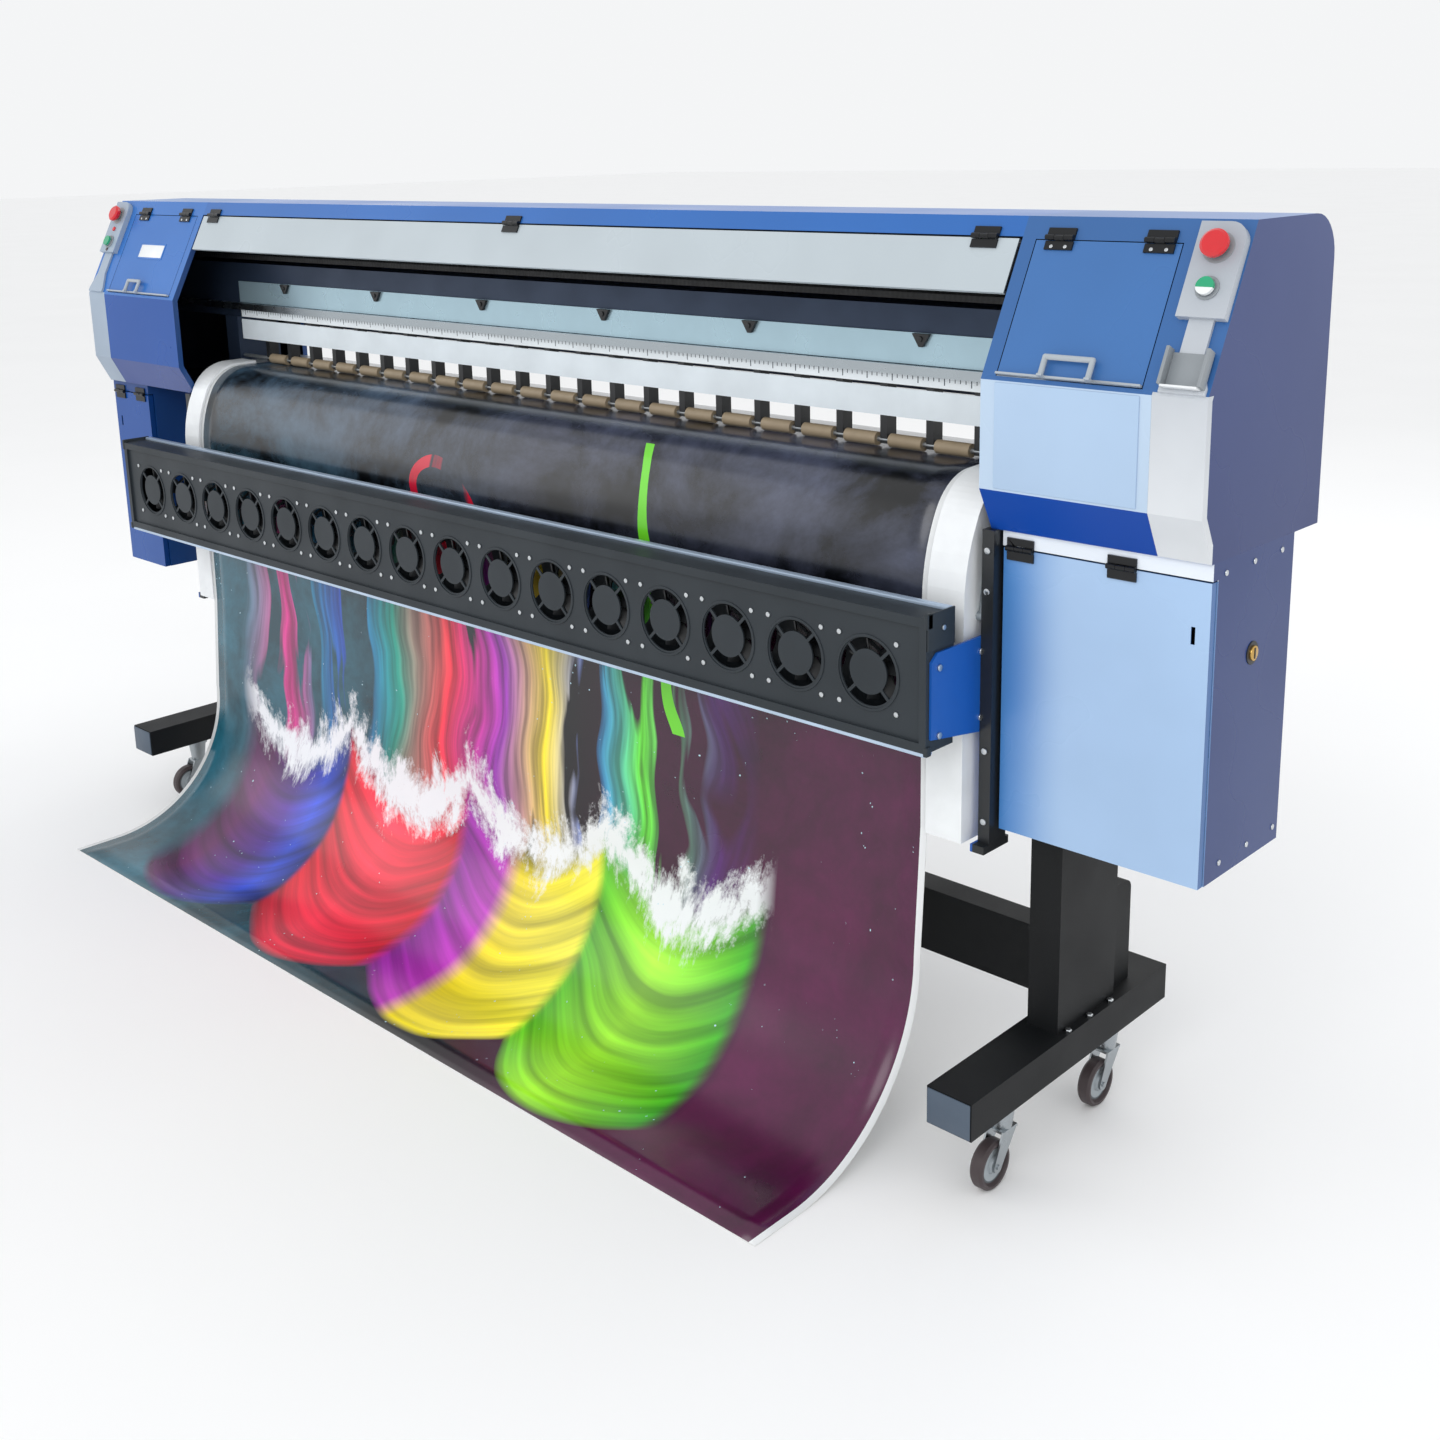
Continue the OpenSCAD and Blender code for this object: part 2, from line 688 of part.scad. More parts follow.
module platen() {
    x0 = left_leg_x + column_w / 2;
    x1 = right_leg_x - column_w / 2;
    profile = concat(
        [[platen_y0, platen_z], [platen_y0, platen_z - platen_t],
         [platen_y1, platen_z - platen_t]],
        arc([platen_y1 - platen_lip, platen_z - platen_lip], platen_lip, 0, 90, 8));
    color(WHITE) difference() {
        along_x(x0, x1) polygon(profile);
        block([x0 - far, platen_y0 + 4, platen_z - platen_t - far],
              [x1 + far, platen_y1 - 4, platen_z - platen_lip - 2]);
    }
}

pinch_count = floor((media_x1 - media_x0 - 60) / pinch_pitch) + 1;
pinch_x0 = (media_x0 + media_x1 - (pinch_count - 1) * pinch_pitch) / 2;
holder_w = 14;

// roller holders hanging from the beam, with the white guard plate in front
module pinch_unit() {
    color(BLACK) difference() {
        for (i = [0:pinch_count - 1]) let(x = pinch_x0 + i * pinch_pitch)
            block([x - holder_w / 2, beam_y + seat, pinch_z - 6], [x + holder_w / 2, beam_y + 24, beam_z]);
        translate([media_x0, roller_y, pinch_z]) rotate([0, 90, 0])
            cylinder(h = media_x1 - media_x0, r = pinch_shaft_r + run_gap);
    }
    color(WHITE) block([lx1 + 3, beam_y - 3, pinch_z + 40], [rx0 - 3, beam_y, beam_z - 5]);
}

// a shaft that runs in both end frames
module cross_shaft(z, r) {
    x0 = left_leg_x + column_w / 2 - 24;
    x1 = right_leg_x - column_w / 2 + 24;
    translate([x0, roller_y, z]) rotate([0, 90, 0]) cylinder(h = x1 - x0, r = r);
}

module pinch_rollers() {
    color("#d8cbb4") {
        cross_shaft(pinch_z, pinch_shaft_r);
        for (i = [0:pinch_count - 2])
            translate([pinch_x0 + i * pinch_pitch + holder_w / 2 + 6, roller_y, pinch_z])
                rotate([0, 90, 0]) cylinder(h = pinch_pitch - holder_w - 12, r = pinch_r);
    }
}

module grit_roller() {
    color("#8c9296") {
        cross_shaft(grit_z, grit_shaft_r);
        translate([media_x0, roller_y, grit_z]) rotate([0, 90, 0])
            cylinder(h = media_x1 - media_x0, r = grit_r);
    }
}

// the guide's surface from its rear edge forwards, down and to its lower edge,
// pushed out by d
function guide_line(d) =
    let(c1 = [guide_arc_y, platen_z - guide_r1],
        c2 = c1 + (guide_r1 - guide_r2) * [-sin(guide_a), cos(guide_a)])
    concat([[guide_back_y, platen_z + d]],
           arc(c1, guide_r1 + d, 90, 90 + guide_a, 10),
           arc(c2, guide_r2 + d, 90 + guide_a + 7, 180, 4));

module front_guide() {
    outer = concat(guide_line(0), [[guide_y, guide_z0]]);
    inner = concat(guide_line(-guide_t), [[guide_y + guide_t, guide_z0]]);
    color(WHITE) along_x(media_x0, media_x1) polygon(concat(outer, reversed(inner)));
}

// a hollow end moulding that closes the guide and carries it on the platen
module guide_cover(x0, x1) {
    wall = 3;
    back = guide_y + cover_depth;
    shaft_clear = grit_z - grit_shaft_r - 3;
    profile = concat(guide_line(cover_proud), [
        [guide_y - cover_proud, guide_z0 - 4], [back, guide_z0 - 4], [back, platen_z - 130],
        [guide_arc_y, platen_z - platen_t - 4], [platen_y0, platen_z - platen_t - 4],
        [platen_y0, shaft_clear], [guide_back_y, shaft_clear]]);
    difference() {
        along_x(x0, x1) polygon(profile);
        along_x(x0 + wall, x1 - wall) polygon(inset(profile, wall));
        block([x0 + wall, guide_y, guide_z0 - 4 - far], [x1 - wall, back - wall, guide_z0 + far]);
    }
}

module guide_covers() {
    color(WHITE) {
        guide_cover(media_x0 - cover_w_left + 4, media_x0);
        guide_cover(media_x1, media_x1 + cover_w_right);
    }
}

// the media's underside from the supply roll over the platen to the floor
sheet_z = 1;                                  // height of the part that lies on the floor
sheet_bend = 290;
lip_c = [platen_y1 - platen_lip, platen_z - platen_lip];
lip_d = [roll_y, roll_z] - lip_c;
lip_over = platen_lip + seat + media_t / 2;
roll_over = roll_r + seat + media_t / 2;
lip_slope = atan2(lip_d[1], lip_d[0]) + acos((lip_over - roll_over) / norm(lip_d));
hang_y = guide_y - seat - media_t / 2;
sheet_line = concat(
    [[roll_y, roll_z] + roll_over * [cos(lip_slope), sin(lip_slope)]],
    arc(lip_c, lip_over, lip_slope, 90, 8),
    guide_line(seat + media_t / 2),
    [[hang_y, guide_z0]],
    [for (i = [0:3:90]) [hang_y - 14 - sheet_bend * (1 - cos(i)),
                         sheet_z + media_t / 2 + sheet_bend * (1 - sin(i))]],
    [[-reach, sheet_z + media_t / 2]]);

module printed_media() {
    edge = 0.5;
    color("#204050") along_x(media_x0 + edge, media_x1 - edge)
        polygon(concat(beside(sheet_line, media_t / 2), reversed(beside(sheet_line, -media_t / 2))));
}

// ---------------------------------------------------------------- supply roll

holder_t = 10;
right_holder_x = rx0 + 2;
left_holder_x = lx1 - 2 - holder_t;

module roll_holder(x) {
    y0 = back_y - 66;
    y1 = back_y - 4;
    end_r = 30;
    difference() {
        along_x(x, x + holder_t) polygon(concat(
            [[y1, pod_z0], [y0, pod_z0], [y0, roll_z - 20]],
            arc([roll_y, roll_z], end_r, 250, 440, 12),
            [[y1, roll_z + 100]]));
        translate([x - far, roll_y, roll_z]) rotate([0, 90, 0])
            cylinder(h = holder_t + 2 * far, r = shaft_r + run_gap);
    }
}

module roll_holders() {
    color(BLACK) {
        roll_holder(left_holder_x);
        roll_holder(right_holder_x);
    }
}

shaft_out = 40;                               // free shaft end beyond the right holder

// shaft with collars, two core chucks and the wound media
module supply_roll() {
    core_r = 38;
    x0 = left_holder_x - 12;
    x1 = right_holder_x + holder_t + shaft_out;
    translate([0, roll_y, roll_z]) rotate([0, 90, 0]) {
        color(SILVER) translate([0, 0, x0]) cylinder(h = x1 - x0, r = shaft_r);
        color(BLACK) for (x = [media_x0 - 20, media_x1 - 30])
            translate([0, 0, x]) difference() {
                cylinder(h = 50, r = core_r);
                translate([0, 0, -far]) cylinder(h = 50 + 2 * far, r = shaft_r);
            }
        color("white") translate([0, 0, media_x0 + 0.5]) difference() {
            cylinder(h = media_x1 - media_x0 - 1, r = roll_r, $fn = 96);
            translate([0, 0, -far]) cylinder(h = media_x1 - media_x0 + far, r = core_r);
        }
    }
}

// ---------------------------------------------------------------- cabinets

slot_h = 24;
lock_r = 9;
lock_y = cab_y0 + 120;
lock_z = door_top - 122;

// a cabinet open to the front under its head strip; cut_x is the column passing through
module cabinet(x0, x1, hinges) {
    t = 2;
    body_y0 = cab_y0 + door_d;
    difference() {
        union() {
            block([x0, body_y0, cab_z0], [x1, cab_y1, pod_z0]);
            block([x0, cab_y0, door_top + gap], [x1, body_y0 + far, pod_z0]);
        }
        block([x0 + t, body_y0 - far, cab_z0 + t], [x1 - t, cab_y1 - t, door_top + gap]);
        block([x0 + t, cab_y0 + t, door_top + gap - far], [x1 - t, cab_y1 - t, pod_z0 - t]);
        block([right_leg_x - column_w / 2 - seat, -seat, cab_z0 - far],
              [right_leg_x + column_w / 2 + seat, column_d + seat, pod_z0 + far]);
    }
    for (x = hinges) translate([x, cab_y0 - hinge_y, door_top]) hinge_fixed();
}

// a pan door hinged along its top, with a latch slot near its outer edge
module door(x0, x1, hinges, slot_x) {
    difference() {
        block([x0 + gap, cab_y0, cab_z0], [x1 - gap, cab_y0 + door_d - gap, door_top - 1]);
        block([x0 + gap + 2, cab_y0 + 2, cab_z0 + 2], [x1 - gap - 2, cab_y1, door_top - 3]);
        block([slot_x - 3, cab_y0 - far, door_top - 87], [slot_x + 3, cab_y0 + 3, door_top - 87 + slot_h]);
    }
    for (x = hinges) translate([x, cab_y0 - hinge_y, door_top]) hinge_moving();
}

left_cab_x1 = lx0 + left_cab_w;
right_cab_x0 = rx1 - right_cab_w;
left_hinges = [lx0 + 36, left_cab_x1 - 36];
right_hinges = [right_cab_x0 + 30, right_cab_x0 + 190];

module left_cabinet() {
    color(BLUE) cabinet(lx0, left_cab_x1, left_hinges);
}

module right_cabinet() {
    color(NAVY) cabinet(right_cab_x0, rx1, right_hinges);
}

module left_door() {
    color(BLUE) door(lx0, left_cab_x1, left_hinges, lx0 + 25);
}

module right_door() {
    color(PALE) door(right_cab_x0, rx1, right_hinges, rx1 - 25);
}

// four square ink tanks with round caps, standing on the right cabinet's floor
module ink_tanks() {
    x0 = right_leg_x + column_w / 2 + 12;
    pitch = (rx1 - 8 - x0) / 4;
    floor_z = cab_z0 + 2;
    colours = ["#20b0d0", "#d03080", "#e8d020", "#202428"];
    for (i = [0:3]) color(colours[i]) translate([x0 + i * pitch, cab_y0 + 40, floor_z]) {
        cube([pitch - 6, 130, 150]);
        translate([(pitch - 6) / 2, 65, 150]) cylinder(h = 18, r = 16);
    }
}

// ---------------------------------------------------------------- drying fans

function fan_x(i) = bar_x1 - fan_margin - i * fan_pitch;

module fan_slots(x) {
    spoke = 5;
    translate([x, bar_y, fan_z]) rotate([-90, 0, 0]) difference() {
        cylinder(h = fan_recess + fan_wall + 2, r = fan_r);
        translate([0, 0, -far]) cylinder(h = 20, r = fan_hub_r);
        for (a = [45, 135]) rotate([0, 0, a]) cube([2.5 * fan_r, spoke, 40], center = true);
    }
}

// motor can, shaft and three arms to the back wall
module fan_motor(x) {
    back = bar_y + bar_d;
    can_y = fan_y0 + fan_depth + 3;
    translate([x, 0, fan_z]) {
        translate([0, can_y, 0]) rotate([-90, 0, 0]) cylinder(h = back - can_y, r = motor_r);
        translate([0, fan_y0 + 2, 0]) rotate([-90, 0, 0])
            cylinder(h = can_y - fan_y0, r = motor_shaft_r);
        for (a = [90, 210, 330]) rotate([0, a, 0])
            block([motor_r - 2, back - 4, -2.5], [fan_r + 2, back - 1, 2.5]);
    }
}

module dryer_housing() {
    back = bar_y + bar_d;
    end_t = 4;
    color("#3c4042") {
        difference() {
            block([bar_x0, bar_y, bar_z0], [bar_x1, back, bar_z0 + bar_h]);
            block([bar_x0 + 12, bar_y - far, bar_z0 + 14],
                  [bar_x1 - 12, bar_y + fan_recess, bar_z0 + bar_h - 14]);
            block([bar_x0 + end_t, bar_y + fan_recess + fan_wall, bar_z0 + 3],
                  [bar_x1 - end_t, back - 3, bar_z0 + bar_h - 3]);
            for (i = [0:fan_count - 1]) {
                fan_slots(fan_x(i));
                translate([fan_x(i), back - 10, fan_z]) rotate([-90, 0, 0]) cylinder(h = 20, r = fan_r);
            }
        }
        for (i = [0:fan_count - 1]) fan_motor(fan_x(i));
    }
}

// an impeller: hub with a shaft bore and seven pitched blades
module fan(i) {
    hub_r = 19;
    blades = 7;
    color("#26292b") translate([fan_x(i), fan_y0, fan_z]) difference() {
        union() {
            rotate([-90, 0, 0]) cylinder(h = fan_depth, r = hub_r);
            for (b = [0:blades - 1]) rotate([0, b * 360 / blades, 0]) rotate([38, 0, 0])
                block([hub_r - 4, 1, -2], [fan_r - 4, 1 + fan_depth * 0.9, 0]);
        }
        translate([0, 2, 0]) rotate([-90, 0, 0]) cylinder(h = fan_depth, r = motor_shaft_r + run_gap);
    }
}

// uprights under the pods, blue plates to the fan bar, and the gas strut
module dryer_brackets() {
    plate_z0 = bar_z0 - 2;
    plate_z1 = bar_z0 + 145;
    color(BLACK) for (x = [left_upright_x, right_upright_x]) {
        block([x, upright_y0, guide_z0 - 4], [x + upright_w, upright_y1, pod_z0]);
        block([x - 4, upright_y0 - 14, guide_z0 - 16], [x + upright_w, upright_y1 + 8, guide_z0 - 4]);
    }
    color(BLUE) {
        along_x(bar_x1, right_upright_x) polygon([
            [bar_y + 8, plate_z0 + 22], [upright_y0 + 16, plate_z0], [upright_y0 + 16, plate_z1],
            [bar_y + 22, plate_z1], [bar_y + 8, plate_z1 - 12]]);
        block([left_upright_x - 4, bar_y + bar_d, plate_z0],
              [left_upright_x, upright_y0 + 16, plate_z1]);
    }
    strut_x = right_upright_x - 7;
    low = [upright_y0 + 12, plate_z1 + 26];
    high = [upright_y1 - 12, pod_z0 - 14];
    run = high - low;
    color(SILVER) {
        for (p = [low, high]) translate([strut_x - 6, p[0], p[1]]) rotate([0, 90, 0])
            cylinder(h = right_upright_x - strut_x + 6, r = 7);
        translate([strut_x, low[0], low[1]]) rotate([-atan2(run[0], run[1]), 0, 0]) {
            cylinder(h = norm(run), r = 3);
            cylinder(h = norm(run) * 0.45, r = 5);
        }
    }
}

// ---------------------------------------------------------------- drawing

legs();
stretcher();
main_beam();
beam_cover();
linear_rail();
platen();
pinch_unit();
front_guide();
guide_covers();
left_pod_shell();
right_pod_shell();
control_towers();
top_cover();
left_cabinet();
right_cabinet();
dryer_housing();
dryer_brackets();
printed_media();
ink_tanks();
drive_belt();
roll_holders();
carriage();
front_flap();
right_lid();
left_lid();
right_door();
left_door();
right_e_stop();
right_start_button();
left_e_stop();
left_start_button();
pinch_rollers();
grit_roller();
supply_roll();
drive_pulley();
idler_pulley();
for (c = CORNERS) {
    fork(c);
    wheel(c);
}
for (i = [0:fan_count - 1])
    fan(i);
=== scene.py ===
import math

import bmesh
import bpy
from mathutils import Matrix, Vector


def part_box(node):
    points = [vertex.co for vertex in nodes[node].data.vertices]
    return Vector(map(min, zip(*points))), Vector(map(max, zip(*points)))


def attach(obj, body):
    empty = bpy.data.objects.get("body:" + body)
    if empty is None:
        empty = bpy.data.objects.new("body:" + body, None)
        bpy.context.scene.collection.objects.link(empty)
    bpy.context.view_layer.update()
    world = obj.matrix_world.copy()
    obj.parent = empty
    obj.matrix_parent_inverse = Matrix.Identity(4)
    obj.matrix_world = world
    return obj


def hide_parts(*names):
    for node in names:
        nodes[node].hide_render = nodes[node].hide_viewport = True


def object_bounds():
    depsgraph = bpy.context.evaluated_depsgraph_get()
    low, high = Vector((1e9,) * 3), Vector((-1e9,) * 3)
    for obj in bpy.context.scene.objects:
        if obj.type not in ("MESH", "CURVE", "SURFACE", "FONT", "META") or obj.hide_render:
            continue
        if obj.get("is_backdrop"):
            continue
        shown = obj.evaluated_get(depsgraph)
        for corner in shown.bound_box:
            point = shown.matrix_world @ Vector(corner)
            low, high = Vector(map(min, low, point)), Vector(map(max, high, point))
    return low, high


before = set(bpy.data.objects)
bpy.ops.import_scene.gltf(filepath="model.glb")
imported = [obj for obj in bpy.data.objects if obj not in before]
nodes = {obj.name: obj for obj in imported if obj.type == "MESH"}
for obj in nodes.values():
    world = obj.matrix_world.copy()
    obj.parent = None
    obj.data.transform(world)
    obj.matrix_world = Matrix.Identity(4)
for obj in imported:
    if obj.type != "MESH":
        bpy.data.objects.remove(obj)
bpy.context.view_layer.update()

# ---------------------------------------------------------------- places

# The sloped front of the machine, in metres: x across, then out of the slope, then down it
SLOPE_TOP = Vector((0, 0.039, 1.400))
SLOPE_OUT = Vector((0, -0.8877, 0.4604))
SLOPE_DOWN = Vector((0, -0.4604, -0.8877))
# What stands further than this out of the slope is a hinge or a handle, not the painted face
PROUD = 0.0004
# What lies further forward than this on a cabinet is a hinge
HINGE_FRONT = -0.0343
SLOPE = Matrix(((1, 0, 0, 0),
                (0, SLOPE_OUT.y, SLOPE_DOWN.y, SLOPE_TOP.y),
                (0, SLOPE_OUT.z, SLOPE_DOWN.z, SLOPE_TOP.z),
                (0, 0, 0, 1)))

# ---------------------------------------------------------------- materials


def linear(code):
    """A hex sRGB colour as linear red, green, blue and alpha."""
    parts = [int(code[i:i + 2], 16) / 255 for i in (1, 3, 5)]
    return tuple(c / 12.92 if c <= 0.04045 else ((c + 0.055) / 1.055) ** 2.4 for c in parts) + (1.0,)


def add(tree, kind, joins=None, **settings):
    """One shader node of this kind, with its own settings, and its sockets set or joined."""
    node = tree.nodes.new("ShaderNode" + kind)
    for key, value in settings.items():
        setattr(node, key, value)
    for key, value in (joins or {}).items():
        if isinstance(value, bpy.types.NodeSocket):
            tree.links.new(value, node.inputs[key])
        else:
            node.inputs[key].default_value = value
    return node


def begin(name):
    """A new material: its tree, its shader, and where a point is on the machine, in metres."""
    stuff = bpy.data.materials.new(name)
    stuff.use_nodes = True
    tree = stuff.node_tree
    tree.nodes.clear()
    shader = add(tree, "BsdfPrincipled")
    add(tree, "OutputMaterial", {"Surface": shader.outputs[0]})
    spot = add(tree, "TexCoord")
    return stuff, tree, shader, spot


def finish_skin(tree, shader, spot, colour, rough, vary=0.06, cloud_mm=180, grain_mm=1.0, bump=0.1,
                lines=(1, 1, 1), smudge=0.06):
    """Colour with a slow cloudy change, smudged gloss, and a fine grain in the surface.
    Real grains are mostly under 0.5 mm: they are drawn at 0.6 to 3 mm, because finer ones don't show."""
    cloud = add(tree, "TexNoise", {"Vector": spot.outputs["Object"], "Scale": 1000 / cloud_mm, "Detail": 3.0})
    shade = add(tree, "MapRange", {0: cloud.outputs[0], 1: 0.2, 2: 0.8, 3: 1 - vary, 4: 1 + vary},
                interpolation_type="SMOOTHSTEP")
    tint = add(tree, "Mix", {0: 1.0, 6: colour, 7: shade.outputs[0]}, data_type="RGBA", blend_type="MULTIPLY")
    tree.links.new(tint.outputs[2], shader.inputs["Base Color"])
    dull, shiny = rough + smudge, rough - smudge
    gloss = add(tree, "MapRange", {0: cloud.outputs[0], 1: 0.2, 2: 0.8, 3: dull, 4: shiny},
                interpolation_type="SMOOTHSTEP")
    tree.links.new(gloss.outputs[0], shader.inputs["Roughness"])
    run = add(tree, "Mapping", {0: spot.outputs["Object"], 3: lines})
    grain = add(tree, "TexNoise", {"Vector": run.outputs[0], "Scale": 1000 / grain_mm, "Detail": 2.0})
    relief = add(tree, "Bump", {"Strength": bump, "Distance": grain_mm / 4000, "Height": grain.outputs[0]})
    tree.links.new(relief.outputs[0], shader.inputs["Normal"])
    return relief


def finish_enamel(tree, shader, spot, colour, rough, cloud_mm):
    """The finish of stove enamel: a satin gloss under a thin clear skin."""
    finish_skin(tree, shader, spot, colour, rough, vary=0.05, cloud_mm=cloud_mm, grain_mm=1.6, bump=0.05)
    shader.inputs["Specular IOR Level"].default_value = 0.30
    shader.inputs["Coat Weight"].default_value = 0.06
    shader.inputs["Coat Roughness"].default_value = 0.18


def between(tree, value, low, high):
    """1 where a value lies between low and high, and 0 elsewhere."""
    over = add(tree, "Math", {0: value, 1: low}, operation="GREATER_THAN")
    under = add(tree, "Math", {0: value, 1: high}, operation="LESS_THAN")
    return add(tree, "Math", {0: over.outputs[0], 1: under.outputs[0]}, operation="MULTIPLY").outputs[0]


def overpaint(tree, base, code, value, low, high):
    """One paint, with a second masked over it where a value lies between low and high."""
    mask = between(tree, value, low, high)
    return add(tree, "Mix", {0: mask, 6: base, 7: linear(code)}, data_type="RGBA").outputs[2]


def off_slope(tree, spot):
    """How far a point stands out of the sloped front, in metres."""
    near = add(tree, "VectorMath", {0: spot.outputs["Object"], 1: tuple(SLOPE_TOP)}, operation="SUBTRACT")
    return add(tree, "VectorMath", {0: near.outputs[0], 1: tuple(SLOPE_OUT)},
               operation="DOT_PRODUCT").outputs["Value"]


def down_slope(tree, spot):
    """How far down the sloped front a point lies, in metres."""
    near = add(tree, "VectorMath", {0: spot.outputs["Object"], 1: tuple(SLOPE_TOP)}, operation="SUBTRACT")
    return add(tree, "VectorMath", {0: near.outputs[0], 1: tuple(SLOPE_DOWN)},
               operation="DOT_PRODUCT").outputs["Value"]


def radius_about(tree, spot, y, z):
    """How far a point is from an axis that runs along x."""
    flat = add(tree, "VectorMath", {0: spot.outputs["Object"], 1: (0, 1, 1)}, operation="MULTIPLY")
    near = add(tree, "VectorMath", {0: flat.outputs[0], 1: (0, y, z)}, operation="DISTANCE")
    return near.outputs["Value"]


def pod_enamel(name, centre, slope, front, under, side, top, inner_painted_shade):
    """Stove enamel on folded sheet steel: an even satin gloss. Each face's blue, chosen by the way it points,
    stands in for light and shade: lighter on top, painted shade on the outer side and underneath, and a
    painted reflection on the right pod's pale front.
    """
    stuff, tree, shader, spot = begin(name)
    n = add(tree, "SeparateXYZ", {0: spot.outputs["Normal"]}).outputs
    p = add(tree, "SeparateXYZ", {0: spot.outputs["Object"]}).outputs
    # the blue of each face is painted light and shade: lighter on top, darker on the side and underneath,
    # pale with a painted reflection in front
    colour = overpaint(tree, linear(side), top, n[2], 0.7, 2)
    colour = overpaint(tree, colour, slope, n[2], 0.2, 0.7)
    colour = overpaint(tree, colour, front, n[1], -2, -0.95)
    colour = overpaint(tree, colour, under, n[2], -2, -0.15)
    # a painted highlight: the outer side is a little paler towards its top
    painted_highlight_rise = add(tree, "MapRange", {0: p[2], 1: 0.95, 2: 1.40, 3: 0.0, 4: 0.14})
    glow = add(tree, "Math", {0: painted_highlight_rise.outputs[0], 1: between(tree, n[0], 0.7, 2)}, operation="MULTIPLY")
    colour = add(tree, "Mix", {0: glow.outputs[0], 6: colour, 7: linear("#7f90c8")},
                 data_type="RGBA").outputs[2]
    # inside the shell the enamel is painted dark as shade
    reach = add(tree, "VectorMath", {0: spot.outputs["Object"], 1: centre}, operation="SUBTRACT")
    facing = add(tree, "VectorMath", {0: reach.outputs[0], 1: spot.outputs["Normal"]},
                 operation="DOT_PRODUCT")
    colour = overpaint(tree, colour, inner_painted_shade, facing.outputs["Value"], -9, 0)
    # hinge barrels stand out of the slope and are black
    colour = overpaint(tree, colour, HINGE_BLACK, off_slope(tree, spot), PROUD, 1)
    finish_enamel(tree, shader, spot, colour, 0.30, cloud_mm=320)
    return stuff


def powder_coat(name, code, rough=0.55, grain_mm=1.4, bump=0.35, vary=0.10):
    """Textured powder coat on steel: a fine orange peel that breaks up highlights."""
    stuff, tree, shader, spot = begin(name)
    shader.inputs["Specular IOR Level"].default_value = 0.25
    finish_skin(tree, shader, spot, linear(code), rough, vary=vary, cloud_mm=140, grain_mm=grain_mm,
                bump=bump)
    return stuff


def moulded(name, code, rough=0.4, grain_mm=0.8, bump=0.12, vary=0.05):
    """Injection moulded ABS or nylon: a fine spark-eroded texture and soft highlights."""
    stuff, tree, shader, spot = begin(name)
    finish_skin(tree, shader, spot, linear(code), rough, vary=vary, cloud_mm=60, grain_mm=grain_mm, bump=bump)
    shader.inputs["IOR"].default_value = 1.53
    return stuff


def brushed(name, code, rough=0.32, metal=1.0, along=(0.03, 1, 1), bump=0.25, grain_mm=1.2, vary=0.08):
    """Brushed metal: fine lines along its length that stretch the highlights."""
    stuff, tree, shader, spot = begin(name)
    finish_skin(tree, shader, spot, linear(code), rough, vary=vary, cloud_mm=90, grain_mm=grain_mm,
                bump=bump, lines=along)
    shader.inputs["Metallic"].default_value = metal
    return stuff


# Hinges on every panel: black oxide on steel, dull beside the enamel
HINGE_BLACK = "#121417"
# Screws, pins and collars: bright zinc with a faint milky bloom
zinc = brushed("bright_zinc_plate", "#c9cdd0", 0.28, along=(1, 1, 1), grain_mm=0.7, bump=0.15)
# Rods and shafts: ground steel, rings of fine lines across the length
ground_steel = brushed("ground_steel", "#b4b9bc", 0.22, along=(1, 0.05, 0.05), bump=0.15)
# Extruded aluminium of the beam, painted dark as shade under the cover
beam_alloy_painted_shade = brushed("aluminium_extrusion_painted_shade", "#2d3a4f", 0.45, metal=0.5)
# Knobs and clips: black glass-filled nylon, a soft sheen over a fine grain
black_nylon = moulded("black_glass_filled_nylon", "#15171a", 0.42, bump=0.2)
# Bezels and pocket walls: grey ABS, an even satin a little darker than the paint round it
grey_abs = moulded("grey_moulded_abs", "#8d9398", 0.42)
# Plain label and pocket front: white ABS, brighter than the paint round it
white_abs = moulded("white_moulded_abs", "#e9ecee", 0.38)
# Brass cam lock: turned, with fine rings and a warm tone
lock_brass = brushed("turned_brass", "#c9a25a", 0.25, along=(0.1, 1, 1), bump=0.2)
# Foot end caps: blue-grey moulded plugs
cap_plastic = moulded("blue_grey_end_cap", "#4a5868", 0.5, bump=0.2)
# Legs and rail: near-black textured powder coat
frame_coat = powder_coat("charcoal_textured_powder_coat", "#101214", 0.52, grain_mm=1.8, bump=0.45)
# Dryer bar: dark grey powder coat, a touch smoother
bar_coat = powder_coat("dark_grey_powder_coat", "#2d3338", 0.46, grain_mm=1.2, bump=0.25)
# Fan blades: black ABS, darker and smoother than the bar round them
fan_abs = moulded("black_moulded_abs", "#1a1d20", 0.46)
# Lamp lenses: glossy dyed polycarbonate, one red and one dark
signal_red = moulded("red_polycarbonate", "#d0141f", 0.22, bump=0.03, vary=0.04)
signal_dark = moulded("smoked_lamp_lens", "#3a2226", 0.2, bump=0.03)


def use(material, *names):
    """Gives CAD nodes their finish."""
    for name in names:
        node = nodes[name]
        for i in range(len(node.material_slots)):
            node.material_slots[i].link = "OBJECT"
            node.material_slots[i].material = material


def soften(width_mm, *names):
    """A small rounded edge on CAD nodes, so that their edges catch the light."""
    for name in names:
        node = nodes[name]
        weld = node.modifiers.new("join_faces", "WELD")
        weld.merge_threshold = 0.00002
        flat = node.modifiers.new("flat_faces", "DECIMATE")
        flat.decimate_type = "DISSOLVE"
        flat.angle_limit = math.radians(0.4)
        edge = node.modifiers.new("round_edges", "BEVEL")
        edge.width = width_mm / 1000
        edge.segments = 2
        edge.limit_method = "ANGLE"
        edge.angle_limit = math.radians(40)
        edge.harden_normals = True
        even = node.modifiers.new("even_normals", "WEIGHTED_NORMAL")
        even.keep_sharp = True
